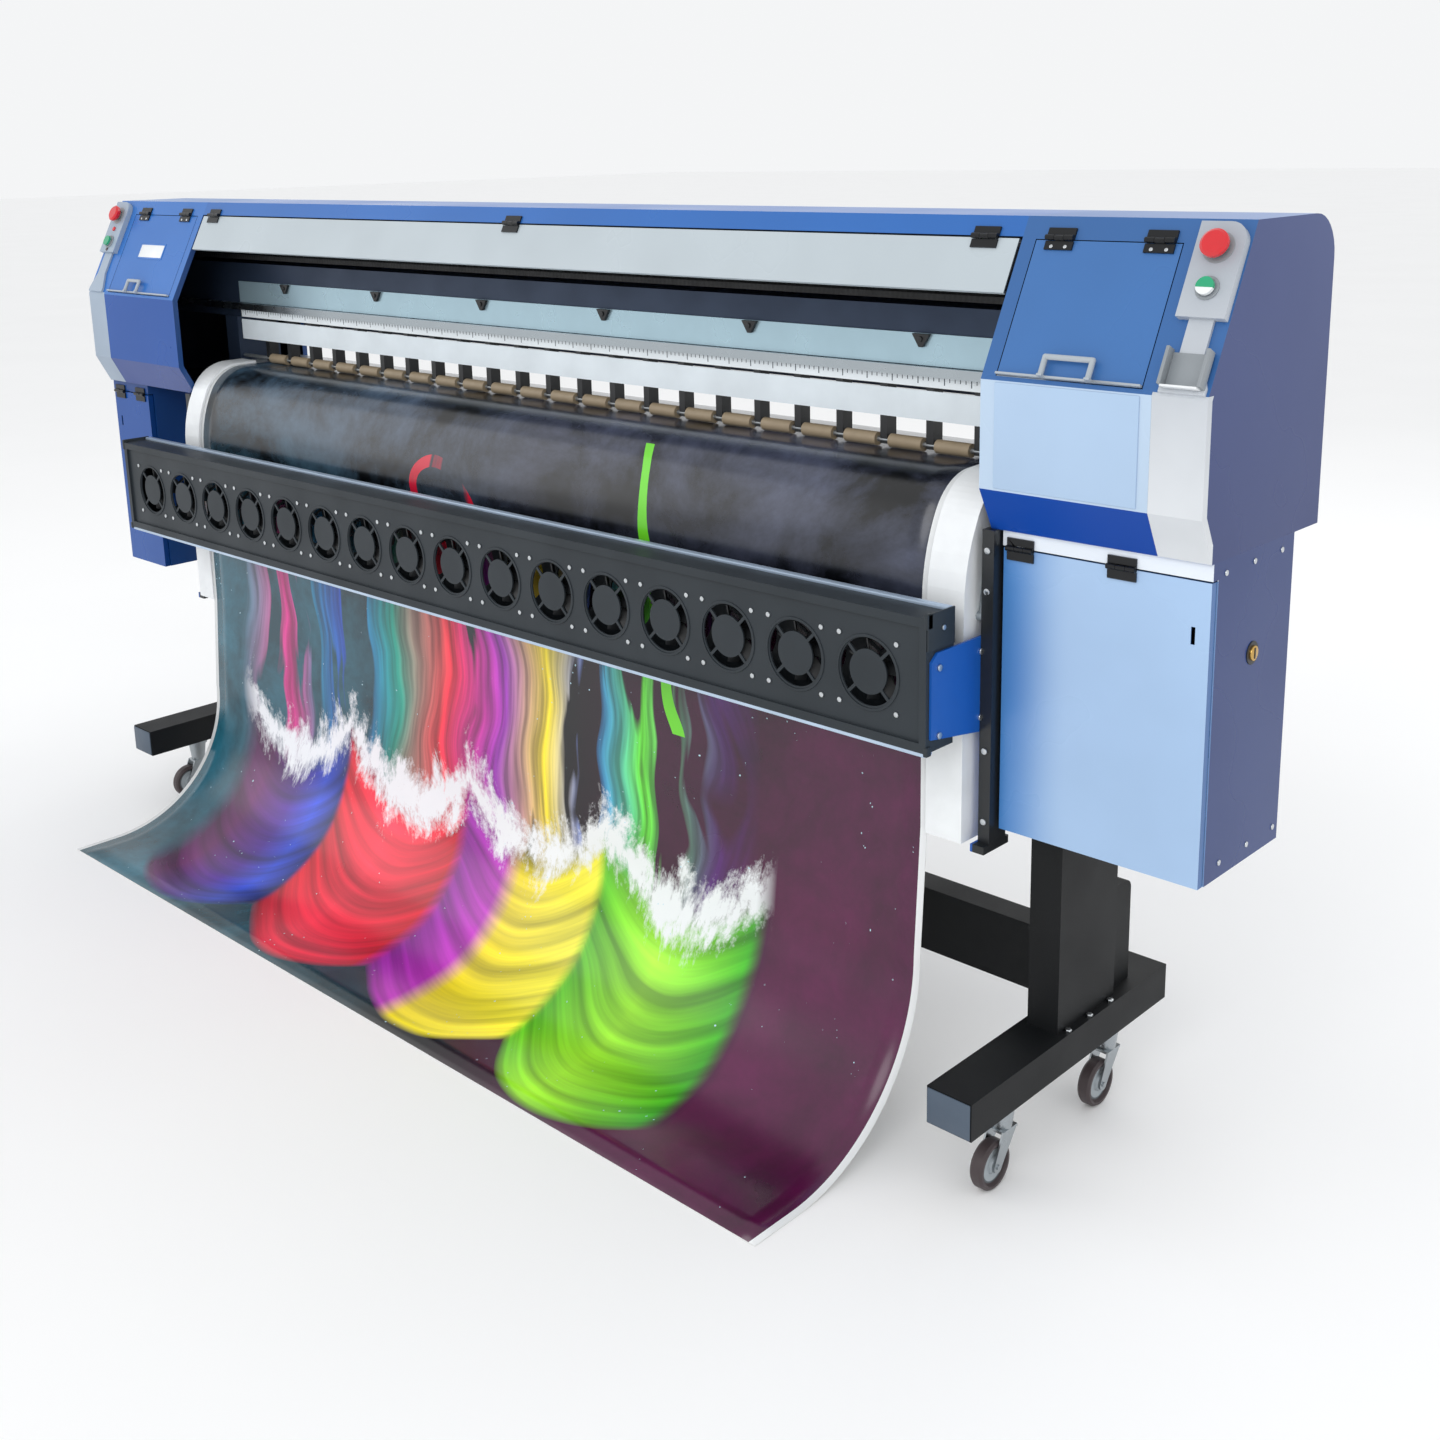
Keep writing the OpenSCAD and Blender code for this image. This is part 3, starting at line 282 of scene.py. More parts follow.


# pods ------------------------------------------------------------
# Blue enamel, with painted light and shade by face: a painted reflection makes the right pod's front pale,
# and the left one's is deep
right_paint = pod_enamel("blue_stove_enamel_right", (1.30, 0.10, 1.19), slope="#38659f", front="#b6cadf",
                         under="#1146a2", side="#23356c", top="#4675b8", inner_painted_shade="#121826")
use(right_paint, "right_pod_shell")
left_paint = pod_enamel("blue_stove_enamel_left", (-1.27, 0.10, 1.19), slope="#3470bc", front="#0f4c9c",
                        under="#0d3a88", side="#1f4680", top="#4c7cbc", inner_painted_shade="#121826")
use(left_paint, "left_pod_shell")


def panel_enamel(name, face, back_in_painted_shade, black_parts=None, rough=0.30, painted_reflection_fade=None):
    """Stove enamel on a hinged steel panel: face colour outside, and a darker copy of it behind and on the
    returns as painted shade.
    """
    stuff, tree, shader, spot = begin(name)
    n = add(tree, "SeparateXYZ", {0: spot.outputs["Normal"]}).outputs
    outside = linear(face)
    # painted reflection: the face colour fades to a deeper blue along x
    if painted_reflection_fade:
        start, end, code = painted_reflection_fade
        x = add(tree, "SeparateXYZ", {0: spot.outputs["Object"]}).outputs[0]
        run = add(tree, "MapRange", {0: x, 1: start, 2: end, 3: 1.0, 4: 0.0}, interpolation_type="SMOOTHSTEP")
        outside = add(tree, "Mix", {0: run.outputs[0], 6: outside, 7: linear(code)},
                      data_type="RGBA").outputs[2]
    # painted shade: every face that doesn't look forwards takes the darker colour
    colour = add(tree, "Mix", {0: between(tree, n[1], -2, -0.3), 6: linear(back_in_painted_shade), 7: outside},
                 data_type="RGBA").outputs[2]
    if black_parts:
        colour = black_parts(tree, spot, colour)
    finish_enamel(tree, shader, spot, colour, rough, cloud_mm=260)
    return stuff


def lid_fittings(tree, spot, colour):
    """Black hinges near the top of a lid and a grey grab handle near its foot."""
    proud = between(tree, off_slope(tree, spot), PROUD, 1)
    low = between(tree, down_slope(tree, spot), 0.12, 1)
    colour = add(tree, "Mix", {0: proud, 6: colour, 7: linear(HINGE_BLACK)}, data_type="RGBA").outputs[2]
    both = add(tree, "Math", {0: proud, 1: low}, operation="MULTIPLY").outputs[0]
    return add(tree, "Mix", {0: both, 6: colour, 7: linear("#a9b1b8")}, data_type="RGBA").outputs[2]


def door_fittings(tree, spot, colour):
    """Black hinges, which stand in front of a door's face."""
    y = add(tree, "SeparateXYZ", {0: spot.outputs["Object"]}).outputs[1]
    return overpaint(tree, colour, HINGE_BLACK, y, -1, HINGE_FRONT)


def flap_fittings(tree, spot, colour):
    """Black hinges that stand out of the window flap."""
    return overpaint(tree, colour, HINGE_BLACK, off_slope(tree, spot), PROUD, 1)


# Lids, doors and flap: the same enamel, each in its own colour, with black hinges; the right door's pale
# face, fading to blue towards its left edge, is a painted reflection
use(panel_enamel("blue_enamel_right_lid", "#406fab", "#24406e", lid_fittings), "right_lid")
use(panel_enamel("blue_enamel_left_lid", "#2f6dba", "#1d4680", lid_fittings), "left_lid")
use(panel_enamel("blue_enamel_door_painted_reflection", "#a3bfe0", "#466ca2", door_fittings,
                 painted_reflection_fade=(1.150, 1.265, "#4a83c4")), "right_door")
use(panel_enamel("deep_blue_enamel_door", "#0b4a98", "#123f80", door_fittings), "left_door")
use(panel_enamel("silver_grey_enamel_flap", "#b6c0c6", "#5c666e", flap_fittings), "front_flap")


def cabinet_enamel(name, face, side, head):
    """Stove enamel on a cabinet: blue sides, and a paler strip over the door."""
    stuff, tree, shader, spot = begin(name)
    n = add(tree, "SeparateXYZ", {0: spot.outputs["Normal"]}).outputs
    p = add(tree, "SeparateXYZ", {0: spot.outputs["Object"]}).outputs
    front = between(tree, n[1], -2, -0.7)
    colour = add(tree, "Mix", {0: front, 6: linear(side), 7: linear(face)}, data_type="RGBA").outputs[2]
    strip = add(tree, "Math", {0: front, 1: between(tree, p[2], 0.9445, 2)}, operation="MULTIPLY").outputs[0]
    colour = add(tree, "Mix", {0: strip, 6: colour, 7: linear(head)}, data_type="RGBA").outputs[2]
    colour = door_fittings(tree, spot, colour)
    finish_enamel(tree, shader, spot, colour, 0.30, cloud_mm=300)
    return stuff


# the right cabinet's pale front is a painted reflection and its dark navy side is painted shade
use(cabinet_enamel("blue_enamel_right_cabinet", "#86a7d4", "#243a72", "#e4ebf3"), "right_cabinet")
use(cabinet_enamel("blue_enamel_left_cabinet", "#0b4a98", "#1f4680", "#123f80"), "left_cabinet")


def tower_paint():
    """Light grey structured paint on the two control towers, paler low down as painted light, and the left
    one darker as painted shade.
    """
    stuff, tree, shader, spot = begin("light_grey_structured_paint")
    p = add(tree, "SeparateXYZ", {0: spot.outputs["Object"]}).outputs
    painted_light_fall = add(tree, "MapRange", {0: p[2], 1: 0.97, 2: 1.36, 3: 1.0, 4: 0.0})
    colour = add(tree, "Mix", {0: painted_light_fall.outputs[0], 6: linear("#a8afb8"), 7: linear("#d9dcdf")},
                 data_type="RGBA").outputs[2]
    # painted shade: the left tower is bluer and darker than the right
    colour = overpaint(tree, colour, "#9aa9ba", p[0], -2, 0)
    finish_skin(tree, shader, spot, colour, 0.40, vary=0.05, cloud_mm=120, grain_mm=1.2, bump=0.12)
    return stuff


use(tower_paint(), "control_towers")


def cover_enamel():
    """Blue enamel on the long top cover, with painted light and shade: lighter on top, darker underneath and
    on the rear wall's inside.
    """
    stuff, tree, shader, spot = begin("blue_enamel_top_cover")
    n = add(tree, "SeparateXYZ", {0: spot.outputs["Normal"]}).outputs
    # painted light on top and painted shade on the faces that look down
    colour = overpaint(tree, linear("#24508f"), "#4a78bf", n[2], 0.7, 2)
    colour = overpaint(tree, colour, "#2f68b2", n[1], -2, -0.3)
    colour = overpaint(tree, colour, "#1b2233", n[2], -2, -0.3)
    # painted shade on the inside of the rear wall
    y = add(tree, "SeparateXYZ", {0: spot.outputs["Object"]}).outputs[1]
    behind = between(tree, y, 0.1, 1)
    inner = add(tree, "Math", {0: between(tree, n[1], -2, -0.9), 1: behind}, operation="MULTIPLY").outputs[0]
    colour = add(tree, "Mix", {0: inner, 6: colour, 7: linear("#1e2740")}, data_type="RGBA").outputs[2]
    colour = overpaint(tree, colour, HINGE_BLACK, off_slope(tree, spot), PROUD, 1)
    finish_enamel(tree, shader, spot, colour, 0.30, cloud_mm=320)
    return stuff


use(cover_enamel(), "top_cover")

# stand, beam and print path --------------------------------------
use(frame_coat, "legs", "stretcher")
use(beam_alloy_painted_shade, "main_beam")
# Beam cover: satin anodised sheet, brushed along the beam
use(brushed("satin_anodised_cover", "#a9c4d0", 0.30, metal=0.6, bump=0.05, vary=0.05), "beam_cover")
use(bar_coat, "dryer_housing")


def scale_and_rail():
    """The bright ground rail above a pale strip with plain graduations every 10 mm, with no figures."""
    stuff, tree, shader, spot = begin("ground_rail_and_graduated_strip")
    p = add(tree, "SeparateXYZ", {0: spot.outputs["Object"]}).outputs
    strip = between(tree, p[2], 1.0, 1.1526)
    # a short mark every 10 mm and a tall one every 50 mm: pitch, width and foot of a mark, in metres
    rows = []
    for pitch, wide, foot in ((0.010, 0.0016, 1.1455), (0.050, 0.0020, 1.1405)):
        step = add(tree, "Math", {0: p[0], 1: pitch, 2: 0.0}, operation="WRAP")
        column = between(tree, step.outputs[0], 0.0, wide)
        row = add(tree, "Math", {0: column, 1: between(tree, p[2], foot, 1.1515)}, operation="MULTIPLY")
        rows.append(row.outputs[0])
    marks = add(tree, "Math", {0: rows[0], 1: rows[1]}, operation="MAXIMUM")
    paint = add(tree, "Mix", {0: marks.outputs[0], 6: linear("#e3eaee"), 7: linear("#3c4650")},
                data_type="RGBA").outputs[2]
    colour = add(tree, "Mix", {0: strip, 6: linear("#aab2b7"), 7: paint}, data_type="RGBA").outputs[2]
    finish_skin(tree, shader, spot, colour, 0.28, vary=0.05, cloud_mm=90, grain_mm=1.0, bump=0.1,
                lines=(0.05, 1, 1))
    shine = add(tree, "Math", {0: 1.0, 1: strip}, operation="SUBTRACT")
    tree.links.new(shine.outputs[0], shader.inputs["Metallic"])
    return stuff


use(scale_and_rail(), "linear_rail")


def platen_metal():
    """Hard anodised platen: a dull grey face with 3 mm vacuum holes at 25 mm centres, drawn as dark dots of
    painted shade.
    """
    stuff, tree, shader, spot = begin("drilled_anodised_platen")
    p = add(tree, "SeparateXYZ", {0: spot.outputs["Object"]}).outputs
    half_pitch, hole_radius = 0.0125, 0.0015
    away = []
    for i in (0, 1):
        wrap = add(tree, "Math", {0: p[i], 1: half_pitch, 2: -half_pitch}, operation="WRAP")
        away.append(add(tree, "Math", {0: wrap.outputs[0], 1: 2.0}, operation="POWER").outputs[0])
    gap = add(tree, "Math", {0: away[0], 1: away[1]}, operation="ADD")
    n = add(tree, "SeparateXYZ", {0: spot.outputs["Normal"]}).outputs
    # the holes are dark dots of painted shade on the top face
    inside = between(tree, gap.outputs[0], -1, hole_radius ** 2)
    hole = add(tree, "Math", {0: inside, 1: between(tree, n[2], 0.9, 2)}, operation="MULTIPLY")
    colour = add(tree, "Mix", {0: hole.outputs[0], 6: linear("#c3c8cb"), 7: linear("#101214")},
                 data_type="RGBA").outputs[2]
    finish_skin(tree, shader, spot, colour, 0.38, cloud_mm=120, grain_mm=1.0, bump=0.12, lines=(0.1, 1, 1))
    shader.inputs["Metallic"].default_value = 0.6
    return stuff


use(platen_metal(), "platen")


def pinch_finish():
    """Black nylon pinch arms behind a pale painted guard plate."""
    stuff, tree, shader, spot = begin("nylon_arms_and_painted_guard")
    p = add(tree, "SeparateXYZ", {0: spot.outputs["Object"]}).outputs
    colour = overpaint(tree, linear("#17191c"), "#dde6ec", p[1], 0.0, 0.10015)
    finish_skin(tree, shader, spot, colour, 0.36, cloud_mm=80, grain_mm=1.0, bump=0.12)
    return stuff


use(pinch_finish(), "pinch_unit")
# Front guide: white enamelled sheet, smooth and even
use(moulded("white_enamelled_guide", "#e4e7ea", 0.30, grain_mm=1.6, bump=0.05), "front_guide")
# Guide ends: white ABS, a little brighter and softer than the guide
use(moulded("white_abs_guide_end", "#eceff1", 0.34, grain_mm=1.2, bump=0.08), "guide_covers")


def bracket_finish():
    """Blue enamelled plates, black uprights and a zinc strut on the dryer's brackets."""
    stuff, tree, shader, spot = begin("blue_plates_and_black_uprights")
    p = add(tree, "SeparateXYZ", {0: spot.outputs["Object"]}).outputs
    plate_top = 0.8125
    low = between(tree, p[2], 0.0, plate_top)
    right = add(tree, "Math", {0: between(tree, p[0], 1.0, 1.12805), 1: low}, operation="MULTIPLY").outputs[0]
    left = between(tree, p[0], -2, -1.08895)
    blue = add(tree, "Math", {0: right, 1: left}, operation="MAXIMUM").outputs[0]
    colour = add(tree, "Mix", {0: blue, 6: linear("#1c1f22"), 7: linear("#1257ae")},
                 data_type="RGBA").outputs[2]
    high = between(tree, p[2], plate_top, 2)
    rod = add(tree, "Math", {0: between(tree, p[0], 1.0, 1.12795), 1: high}, operation="MULTIPLY").outputs[0]
    colour = add(tree, "Mix", {0: rod, 6: colour, 7: linear("#aeb6bb")}, data_type="RGBA").outputs[2]
    finish_skin(tree, shader, spot, colour, 0.36, cloud_mm=100, grain_mm=1.4, bump=0.12)
    tree.links.new(rod, shader.inputs["Metallic"])
    return stuff


use(bracket_finish(), "dryer_brackets")
# Roll holders: black powder coat, a shade lighter than the legs
use(powder_coat("black_powder_coat_roll_bracket", "#1e2124", 0.5), "roll_holders")


def roll_finish():
    """A roll of white vinyl on black chucks and a steel shaft: its ends show the winding as fine grey rings.
    Real vinyl is 0.2 mm thick: a ring is drawn every 1.8 mm, because finer ones don't show."""
    stuff, tree, shader, spot = begin("wound_vinyl_on_steel_shaft")
    away = radius_about(tree, spot, 0.392, 0.722)
    n = add(tree, "SeparateXYZ", {0: spot.outputs["Normal"]}).outputs
    ends = add(tree, "Math", {0: n[0]}, operation="ABSOLUTE")
    turns = add(tree, "Math", {0: away, 1: 0.0018, 2: 0.0}, operation="WRAP")
    dark = between(tree, turns.outputs[0], 0.0, 0.0006)
    line = add(tree, "Math", {0: dark, 1: between(tree, ends.outputs[0], 0.7, 2)}, operation="MULTIPLY")
    vinyl = add(tree, "Mix", {0: line.outputs[0], 6: linear("#eceef0"), 7: linear("#b9bec4")},
                data_type="RGBA").outputs[2]
    shaft, chuck = 0.018, 0.0395
    colour = overpaint(tree, linear("#b4b9bc"), "#1b1d20", away, shaft, chuck)
    colour = add(tree, "Mix", {0: between(tree, away, chuck, 1), 6: colour, 7: vinyl},
                 data_type="RGBA").outputs[2]
    finish_skin(tree, shader, spot, colour, 0.34, vary=0.04, cloud_mm=200, grain_mm=1.2, bump=0.08)
    tree.links.new(between(tree, away, -1, shaft), shader.inputs["Metallic"])
    return stuff


use(roll_finish(), "supply_roll")


def tank_finish():
    """Milky polyethylene ink tanks: each shows its own ink two thirds up, under a black screw cap."""
    stuff, tree, shader, spot = begin("ink_filled_polyethylene")
    p = add(tree, "SeparateXYZ", {0: spot.outputs["Object"]}).outputs
    ink = linear("#1496c8")
    first_x, pitch, clear = 1.2525, 0.052875, 0.003
    for i, code in ((1, "#c81e78"), (2, "#e8c81e"), (3, "#202226")):
        ink = overpaint(tree, ink, code, p[0], first_x + pitch * i - clear, 2)
    # the level wanders a little, in swells of about 80 mm
    wave = add(tree, "TexNoise", {"Vector": spot.outputs["Object"], "Scale": 12.0})
    height = add(tree, "Math", {0: wave.outputs[0], 1: 0.02, 2: 0.60}, operation="MULTIPLY_ADD")
    above = add(tree, "Math", {0: p[2], 1: height.outputs[0]}, operation="GREATER_THAN")
    milk = add(tree, "Mix", {0: 0.25, 6: ink, 7: linear("#e6e8e4")}, data_type="RGBA").outputs[2]
    colour = add(tree, "Mix", {0: above.outputs[0], 6: milk, 7: linear("#e6e8e4")},
                 data_type="RGBA").outputs[2]
    colour = overpaint(tree, colour, "#17191c", p[2], 0.6705, 2)
    finish_skin(tree, shader, spot, colour, 0.42, cloud_mm=60, grain_mm=0.9, bump=0.1)
    shader.inputs["Subsurface Weight"].default_value = 0.1
    return stuff


use(tank_finish(), "ink_tanks")


def belt_rubber():
    """Black neoprene timing belt with teeth at 5 mm pitch."""
    stuff, tree, shader, spot = begin("ribbed_neoprene")
    relief = finish_skin(tree, shader, spot, linear("#191a1c"), 0.6, cloud_mm=40, grain_mm=0.8, bump=0.2)
    tooth_mm = 5
    teeth = add(tree, "TexWave", {"Vector": spot.outputs["Object"], "Scale": 1000 / tooth_mm / math.tau},
                bands_direction="X")
    rib = add(tree, "Bump", {"Strength": 0.6, "Distance": 0.001, "Height": teeth.outputs["Fac"],
                             "Normal": relief.outputs[0]})
    tree.links.new(rib.outputs[0], shader.inputs["Normal"])
    return stuff


use(belt_rubber(), "drive_belt")


def carriage_finish():
    """Grey ABS carriage cover over dark print heads with a steel face."""
    stuff, tree, shader, spot = begin("grey_abs_cover_over_heads")
    p = add(tree, "SeparateXYZ", {0: spot.outputs["Object"]}).outputs
    colour = overpaint(tree, linear("#c2c7cb"), "#24272b", p[2], 0, 1.0625)
    colour = overpaint(tree, colour, "#3a4e74", p[2], 1.10, 1.128)
    finish_skin(tree, shader, spot, colour, 0.4, cloud_mm=90, grain_mm=0.9, bump=0.12)
    return stuff


use(carriage_finish(), "carriage")


def button_finish(name, cap, collar, white_below=1.0):
    """A glossy moulded push button on its grey collar."""
    stuff, tree, shader, spot = begin(name)
    out = off_slope(tree, spot)
    face = overpaint(tree, linear(cap), "#eceff0", down_slope(tree, spot), white_below, 2)
    colour = add(tree, "Mix", {0: between(tree, out, 0.0172, 1), 6: linear(collar), 7: face},
                 data_type="RGBA").outputs[2]
    finish_skin(tree, shader, spot, colour, 0.22, vary=0.04, cloud_mm=20, grain_mm=0.6, bump=0.03)
    shader.inputs["Coat Weight"].default_value = 0.4
    return stuff


use(button_finish("red_mushroom_button", "#cf1420", "#8d9398"), "right_e_stop", "left_e_stop")
use(button_finish("green_start_button", "#12a070", "#d7dbde"), "left_start_button")
use(button_finish("green_and_white_start_button", "#12a070", "#d7dbde", white_below=0.1015),
    "right_start_button")


def roller_finish(name, rubber, bare_radius, y, z):
    """Dull rubber or grit sleeves on a bright ground steel shaft."""
    stuff, tree, shader, spot = begin(name)
    away = radius_about(tree, spot, y, z)
    bare = between(tree, away, -1, bare_radius)
    colour = add(tree, "Mix", {0: bare, 6: linear(rubber), 7: linear("#b4b9bc")}, data_type="RGBA").outputs[2]
    finish_skin(tree, shader, spot, colour, 0.5, cloud_mm=30, grain_mm=0.6, bump=0.3)
    tree.links.new(bare, shader.inputs["Metallic"])
    return stuff


use(roller_finish("beige_polyurethane_tyres", "#a08f76", 0.0046, 0.104, 1.0444), "pinch_rollers")
use(roller_finish("grit_coated_steel", "#7d8184", 0.0086, 0.104, 1.018), "grit_roller")
# Pulleys: turned aluminium, bright with fine rings
use(brushed("turned_aluminium_pulley", "#b8bdc0", 0.28, along=(1, 1, 0.05)), "drive_pulley", "idler_pulley")

corners = ("front_left", "front_right", "back_left", "back_right")
# Caster forks: pressed steel, bright zinc
use(brushed("pressed_zinc_fork", "#a9afb3", 0.30, along=(1, 1, 0.2)), *("fork_" + c for c in corners))


def wheel_finish(name, y):
    """A dark rubber tread round a pale grey hub with a steel axle."""
    stuff, tree, shader, spot = begin(name)
    away = radius_about(tree, spot, y, 0.038)
    colour = overpaint(tree, linear("#42383a"), "#a3abb0", away, -1, 0.0265)
    colour = overpaint(tree, colour, "#5a6166", away, 0.0245, 0.0272)
    colour = overpaint(tree, colour, "#c9cdd0", away, -1, 0.008)
    finish_skin(tree, shader, spot, colour, 0.5, cloud_mm=20, grain_mm=0.8, bump=0.2)
    tree.links.new(between(tree, away, -1, 0.008), shader.inputs["Metallic"])
    return stuff


use(wheel_finish("front_wheel_rubber_and_hub", -0.133), "wheel_front_left", "wheel_front_right")
use(wheel_finish("back_wheel_rubber_and_hub", 0.160), "wheel_back_left", "wheel_back_right")
use(fan_abs, *("fan_%02d" % i for i in range(1, 17)))

soften(1.2, "legs", "stretcher", "dryer_housing", "main_beam", "carriage", "control_towers")
soften(1.0, "left_cabinet", "right_cabinet", "right_door", "left_door", "right_lid", "left_lid", "front_flap")

# ---------------------------------------------------------------- new pieces


def settle(name, bm, body, materials, angle=35):
    """Closes a mesh, points its faces outwards, and puts it on its body."""
    bmesh.ops.remove_doubles(bm, verts=bm.verts[:], dist=0.000005)
    bmesh.ops.recalc_face_normals(bm, faces=bm.faces[:])
    for face in bm.faces:
        face.smooth = True
    for edge in bm.edges:
        edge.smooth = not edge.is_manifold or edge.calc_face_angle(0) < math.radians(angle)
    mesh = bpy.data.meshes.new(name)
    bm.to_mesh(mesh)
    bm.free()
    piece = bpy.data.objects.new(name, mesh)
    bpy.context.scene.collection.objects.link(piece)
    for m in materials if isinstance(materials, (list, tuple)) else [materials]:
        mesh.materials.append(m)
    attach(piece, body)
    return piece


class Shape:
    """A mesh in the making: blocks, pins and plates, each placed where it belongs."""

    def __init__(self):
        self.bm = bmesh.new()

    def keep(self, part, turn, index):
        """Adds a finished part to the shape."""
        if turn is not None:
            bmesh.ops.transform(part, matrix=turn, verts=part.verts[:])
        for face in part.faces:
            face.material_index = index
        mesh = bpy.data.meshes.new("part")
        part.to_mesh(mesh)
        part.free()
        self.bm.from_mesh(mesh)
        bpy.data.meshes.remove(mesh)

    def block(self, low, high, round_mm=1.0, turn=None, index=0):
        """A block between two corners with rounded edges."""
        part = bmesh.new()
        bmesh.ops.create_cube(part, size=1.0)
        low, high = Vector(low), Vector(high)
        bmesh.ops.scale(part, vec=high - low, verts=part.verts[:])
        bmesh.ops.translate(part, vec=(low + high) / 2, verts=part.verts[:])
        if round_mm:
            bmesh.ops.bevel(part, geom=part.edges[:], offset=round_mm / 1000, offset_type="OFFSET",
                            affect="EDGES",
                            segments=2, profile=0.5, material=-1, clamp_overlap=True)
        self.keep(part, turn, index)

    def pin(self, start, end, radius, sides=24, round_mm=0.4, turn=None, index=0, tip=None):
        """A round pin, cap or disc between two points, with its rims rounded."""
        part = bmesh.new()
        start, end = Vector(start), Vector(end)
        length = (end - start).length
        bmesh.ops.create_cone(part, cap_ends=True, cap_tris=False, segments=sides, radius1=radius,
                              radius2=radius if tip is None else tip, depth=length)
        if round_mm:
            rims = [e for e in part.edges if abs(e.verts[0].co.z - e.verts[1].co.z) < 1e-7]
            bmesh.ops.bevel(part, geom=rims, offset=round_mm / 1000, offset_type="OFFSET", affect="EDGES",
                            segments=2, profile=0.5, material=-1, clamp_overlap=True)
        lay = (end - start).to_track_quat("Z", "Y").to_matrix().to_4x4()
        lay.translation = (start + end) / 2
        bmesh.ops.transform(part, matrix=lay, verts=part.verts[:])
        self.keep(part, turn, index)

    def plate(self, outline, depth, round_mm=0.5, turn=None, index=0):
        """A flat plate: an outline of points, pushed out by depth."""
        part = bmesh.new()
        face = part.faces.new([part.verts.new(p) for p in outline])
        pushed = bmesh.ops.extrude_face_region(part, geom=[face])["geom"]
        bmesh.ops.translate(part, vec=depth, verts=[v for v in pushed if isinstance(v, bmesh.types.BMVert)])
        bmesh.ops.recalc_face_normals(part, faces=part.faces[:])
        if round_mm:
            bmesh.ops.bevel(part, geom=part.edges[:], offset=round_mm / 1000, offset_type="OFFSET",
                            affect="EDGES",
                            segments=2, profile=0.5, material=-1, clamp_overlap=True)
        self.keep(part, turn, index)

    def ring(self, start, end, outer, inner, sides=40, turn=None, index=0):
        """A collar: a round wall turned about its axis."""
        part = bmesh.new()
        start, end = Vector(start), Vector(end)
        length = (end - start).length
        soft = min((outer - inner) * 0.3, length * 0.3)
        section = [(inner, 0), (outer - soft, 0), (outer, soft), (outer, length - soft),
                   (outer - soft, length), (inner, length)]
        ring = [part.verts.new((r, 0, h)) for r, h in section]
        edges = [part.edges.new((ring[i], ring[(i + 1) % len(ring)])) for i in range(len(ring))]
        bmesh.ops.spin(part, geom=ring + edges, cent=(0, 0, 0), axis=(0, 0, 1), angle=math.tau, steps=sides,
                       use_merge=True)
        bmesh.ops.remove_doubles(part, verts=part.verts[:], dist=0.000001)
        bmesh.ops.recalc_face_normals(part, faces=part.faces[:])
        lay = (end - start).to_track_quat("Z", "Y").to_matrix().to_4x4()
        lay.translation = start
        bmesh.ops.transform(part, matrix=lay, verts=part.verts[:])
        self.keep(part, turn, index)

    def piece(self, name, body, slot, materials):
        """Turns the shape into a piece that rides on its body."""
        return settle(name, self.bm, body, materials)


# dryer bar: screws round each fan, bright trims along two edges, and capped ends
bar_low, bar_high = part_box("dryer_housing")
face_y = bar_low.y + 0.005
fan_boxes = [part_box("fan_%02d" % i) for i in range(1, 17)]
fan_mids = [(low + high) / 2 for low, high in fan_boxes]
screw_off = 0.052
shape = Shape()
for mid in fan_mids:
    for dx in (-screw_off, screw_off):
        for dz in (-screw_off, screw_off):
            shape.pin((mid.x + dx, face_y + 0.0005, mid.z + dz), (mid.x + dx, face_y - 0.0022, mid.z + dz),
                      0.0042, sides=10, round_mm=0.9)
shape.piece("fan_screws", "frame", "pulley_metal", zinc)

shape = Shape()
for mid in fan_mids:
    shape.ring((mid.x, face_y + 0.0004, mid.z), (mid.x, face_y - 0.0016, mid.z), 0.0575, 0.0535, sides=36)
shape.piece("fan_rims", "frame", "bar_grey", bar_coat)

# Extruded trims: pale anodised aluminium, brushed along their length
pale_trim = brushed("pale_anodised_trim", "#b9cbe0", 0.34, metal=0.5, bump=0.15)
shape = Shape()
trim_left, trim_right = bar_low.x + 0.004, bar_high.x - 0.003
shape.block((trim_left, bar_low.y + 0.001, bar_low.z - 0.006),
            (trim_right, bar_low.y + 0.020, bar_low.z + 0.0005))
shape.block((trim_left, bar_high.y - 0.012, bar_high.z - 0.0005),
            (trim_right, bar_high.y + 0.001, bar_high.z + 0.005))
shape.piece("bar_trims", "frame", "beam_silver", pale_trim)

shape = Shape()
for x, way in ((bar_high.x, 1), (bar_low.x, -1)):
    # the right cap stops above the blue bracket plate
    foot = bar_low.z + (0.150 if way > 0 else 0.0)
    shape.block((min(x, x + way * 0.003), bar_low.y + 0.001, foot),
                (max(x, x + way * 0.003), bar_high.y - 0.001, bar_high.z + 0.006), 1.2)
    shape.block((x - 0.004, bar_low.y - 0.001, bar_high.z - 0.016),
                (x + 0.003, bar_low.y + 0.012, bar_high.z + 0.006), 1.2)
    shape.block((x - 0.004, bar_low.y - 0.001, bar_low.z - 0.004),
                (x + 0.003, bar_low.y + 0.010, bar_low.z + 0.010), 1.2)
shape.piece("bar_end_caps", "frame", "bar_grey", bar_coat)

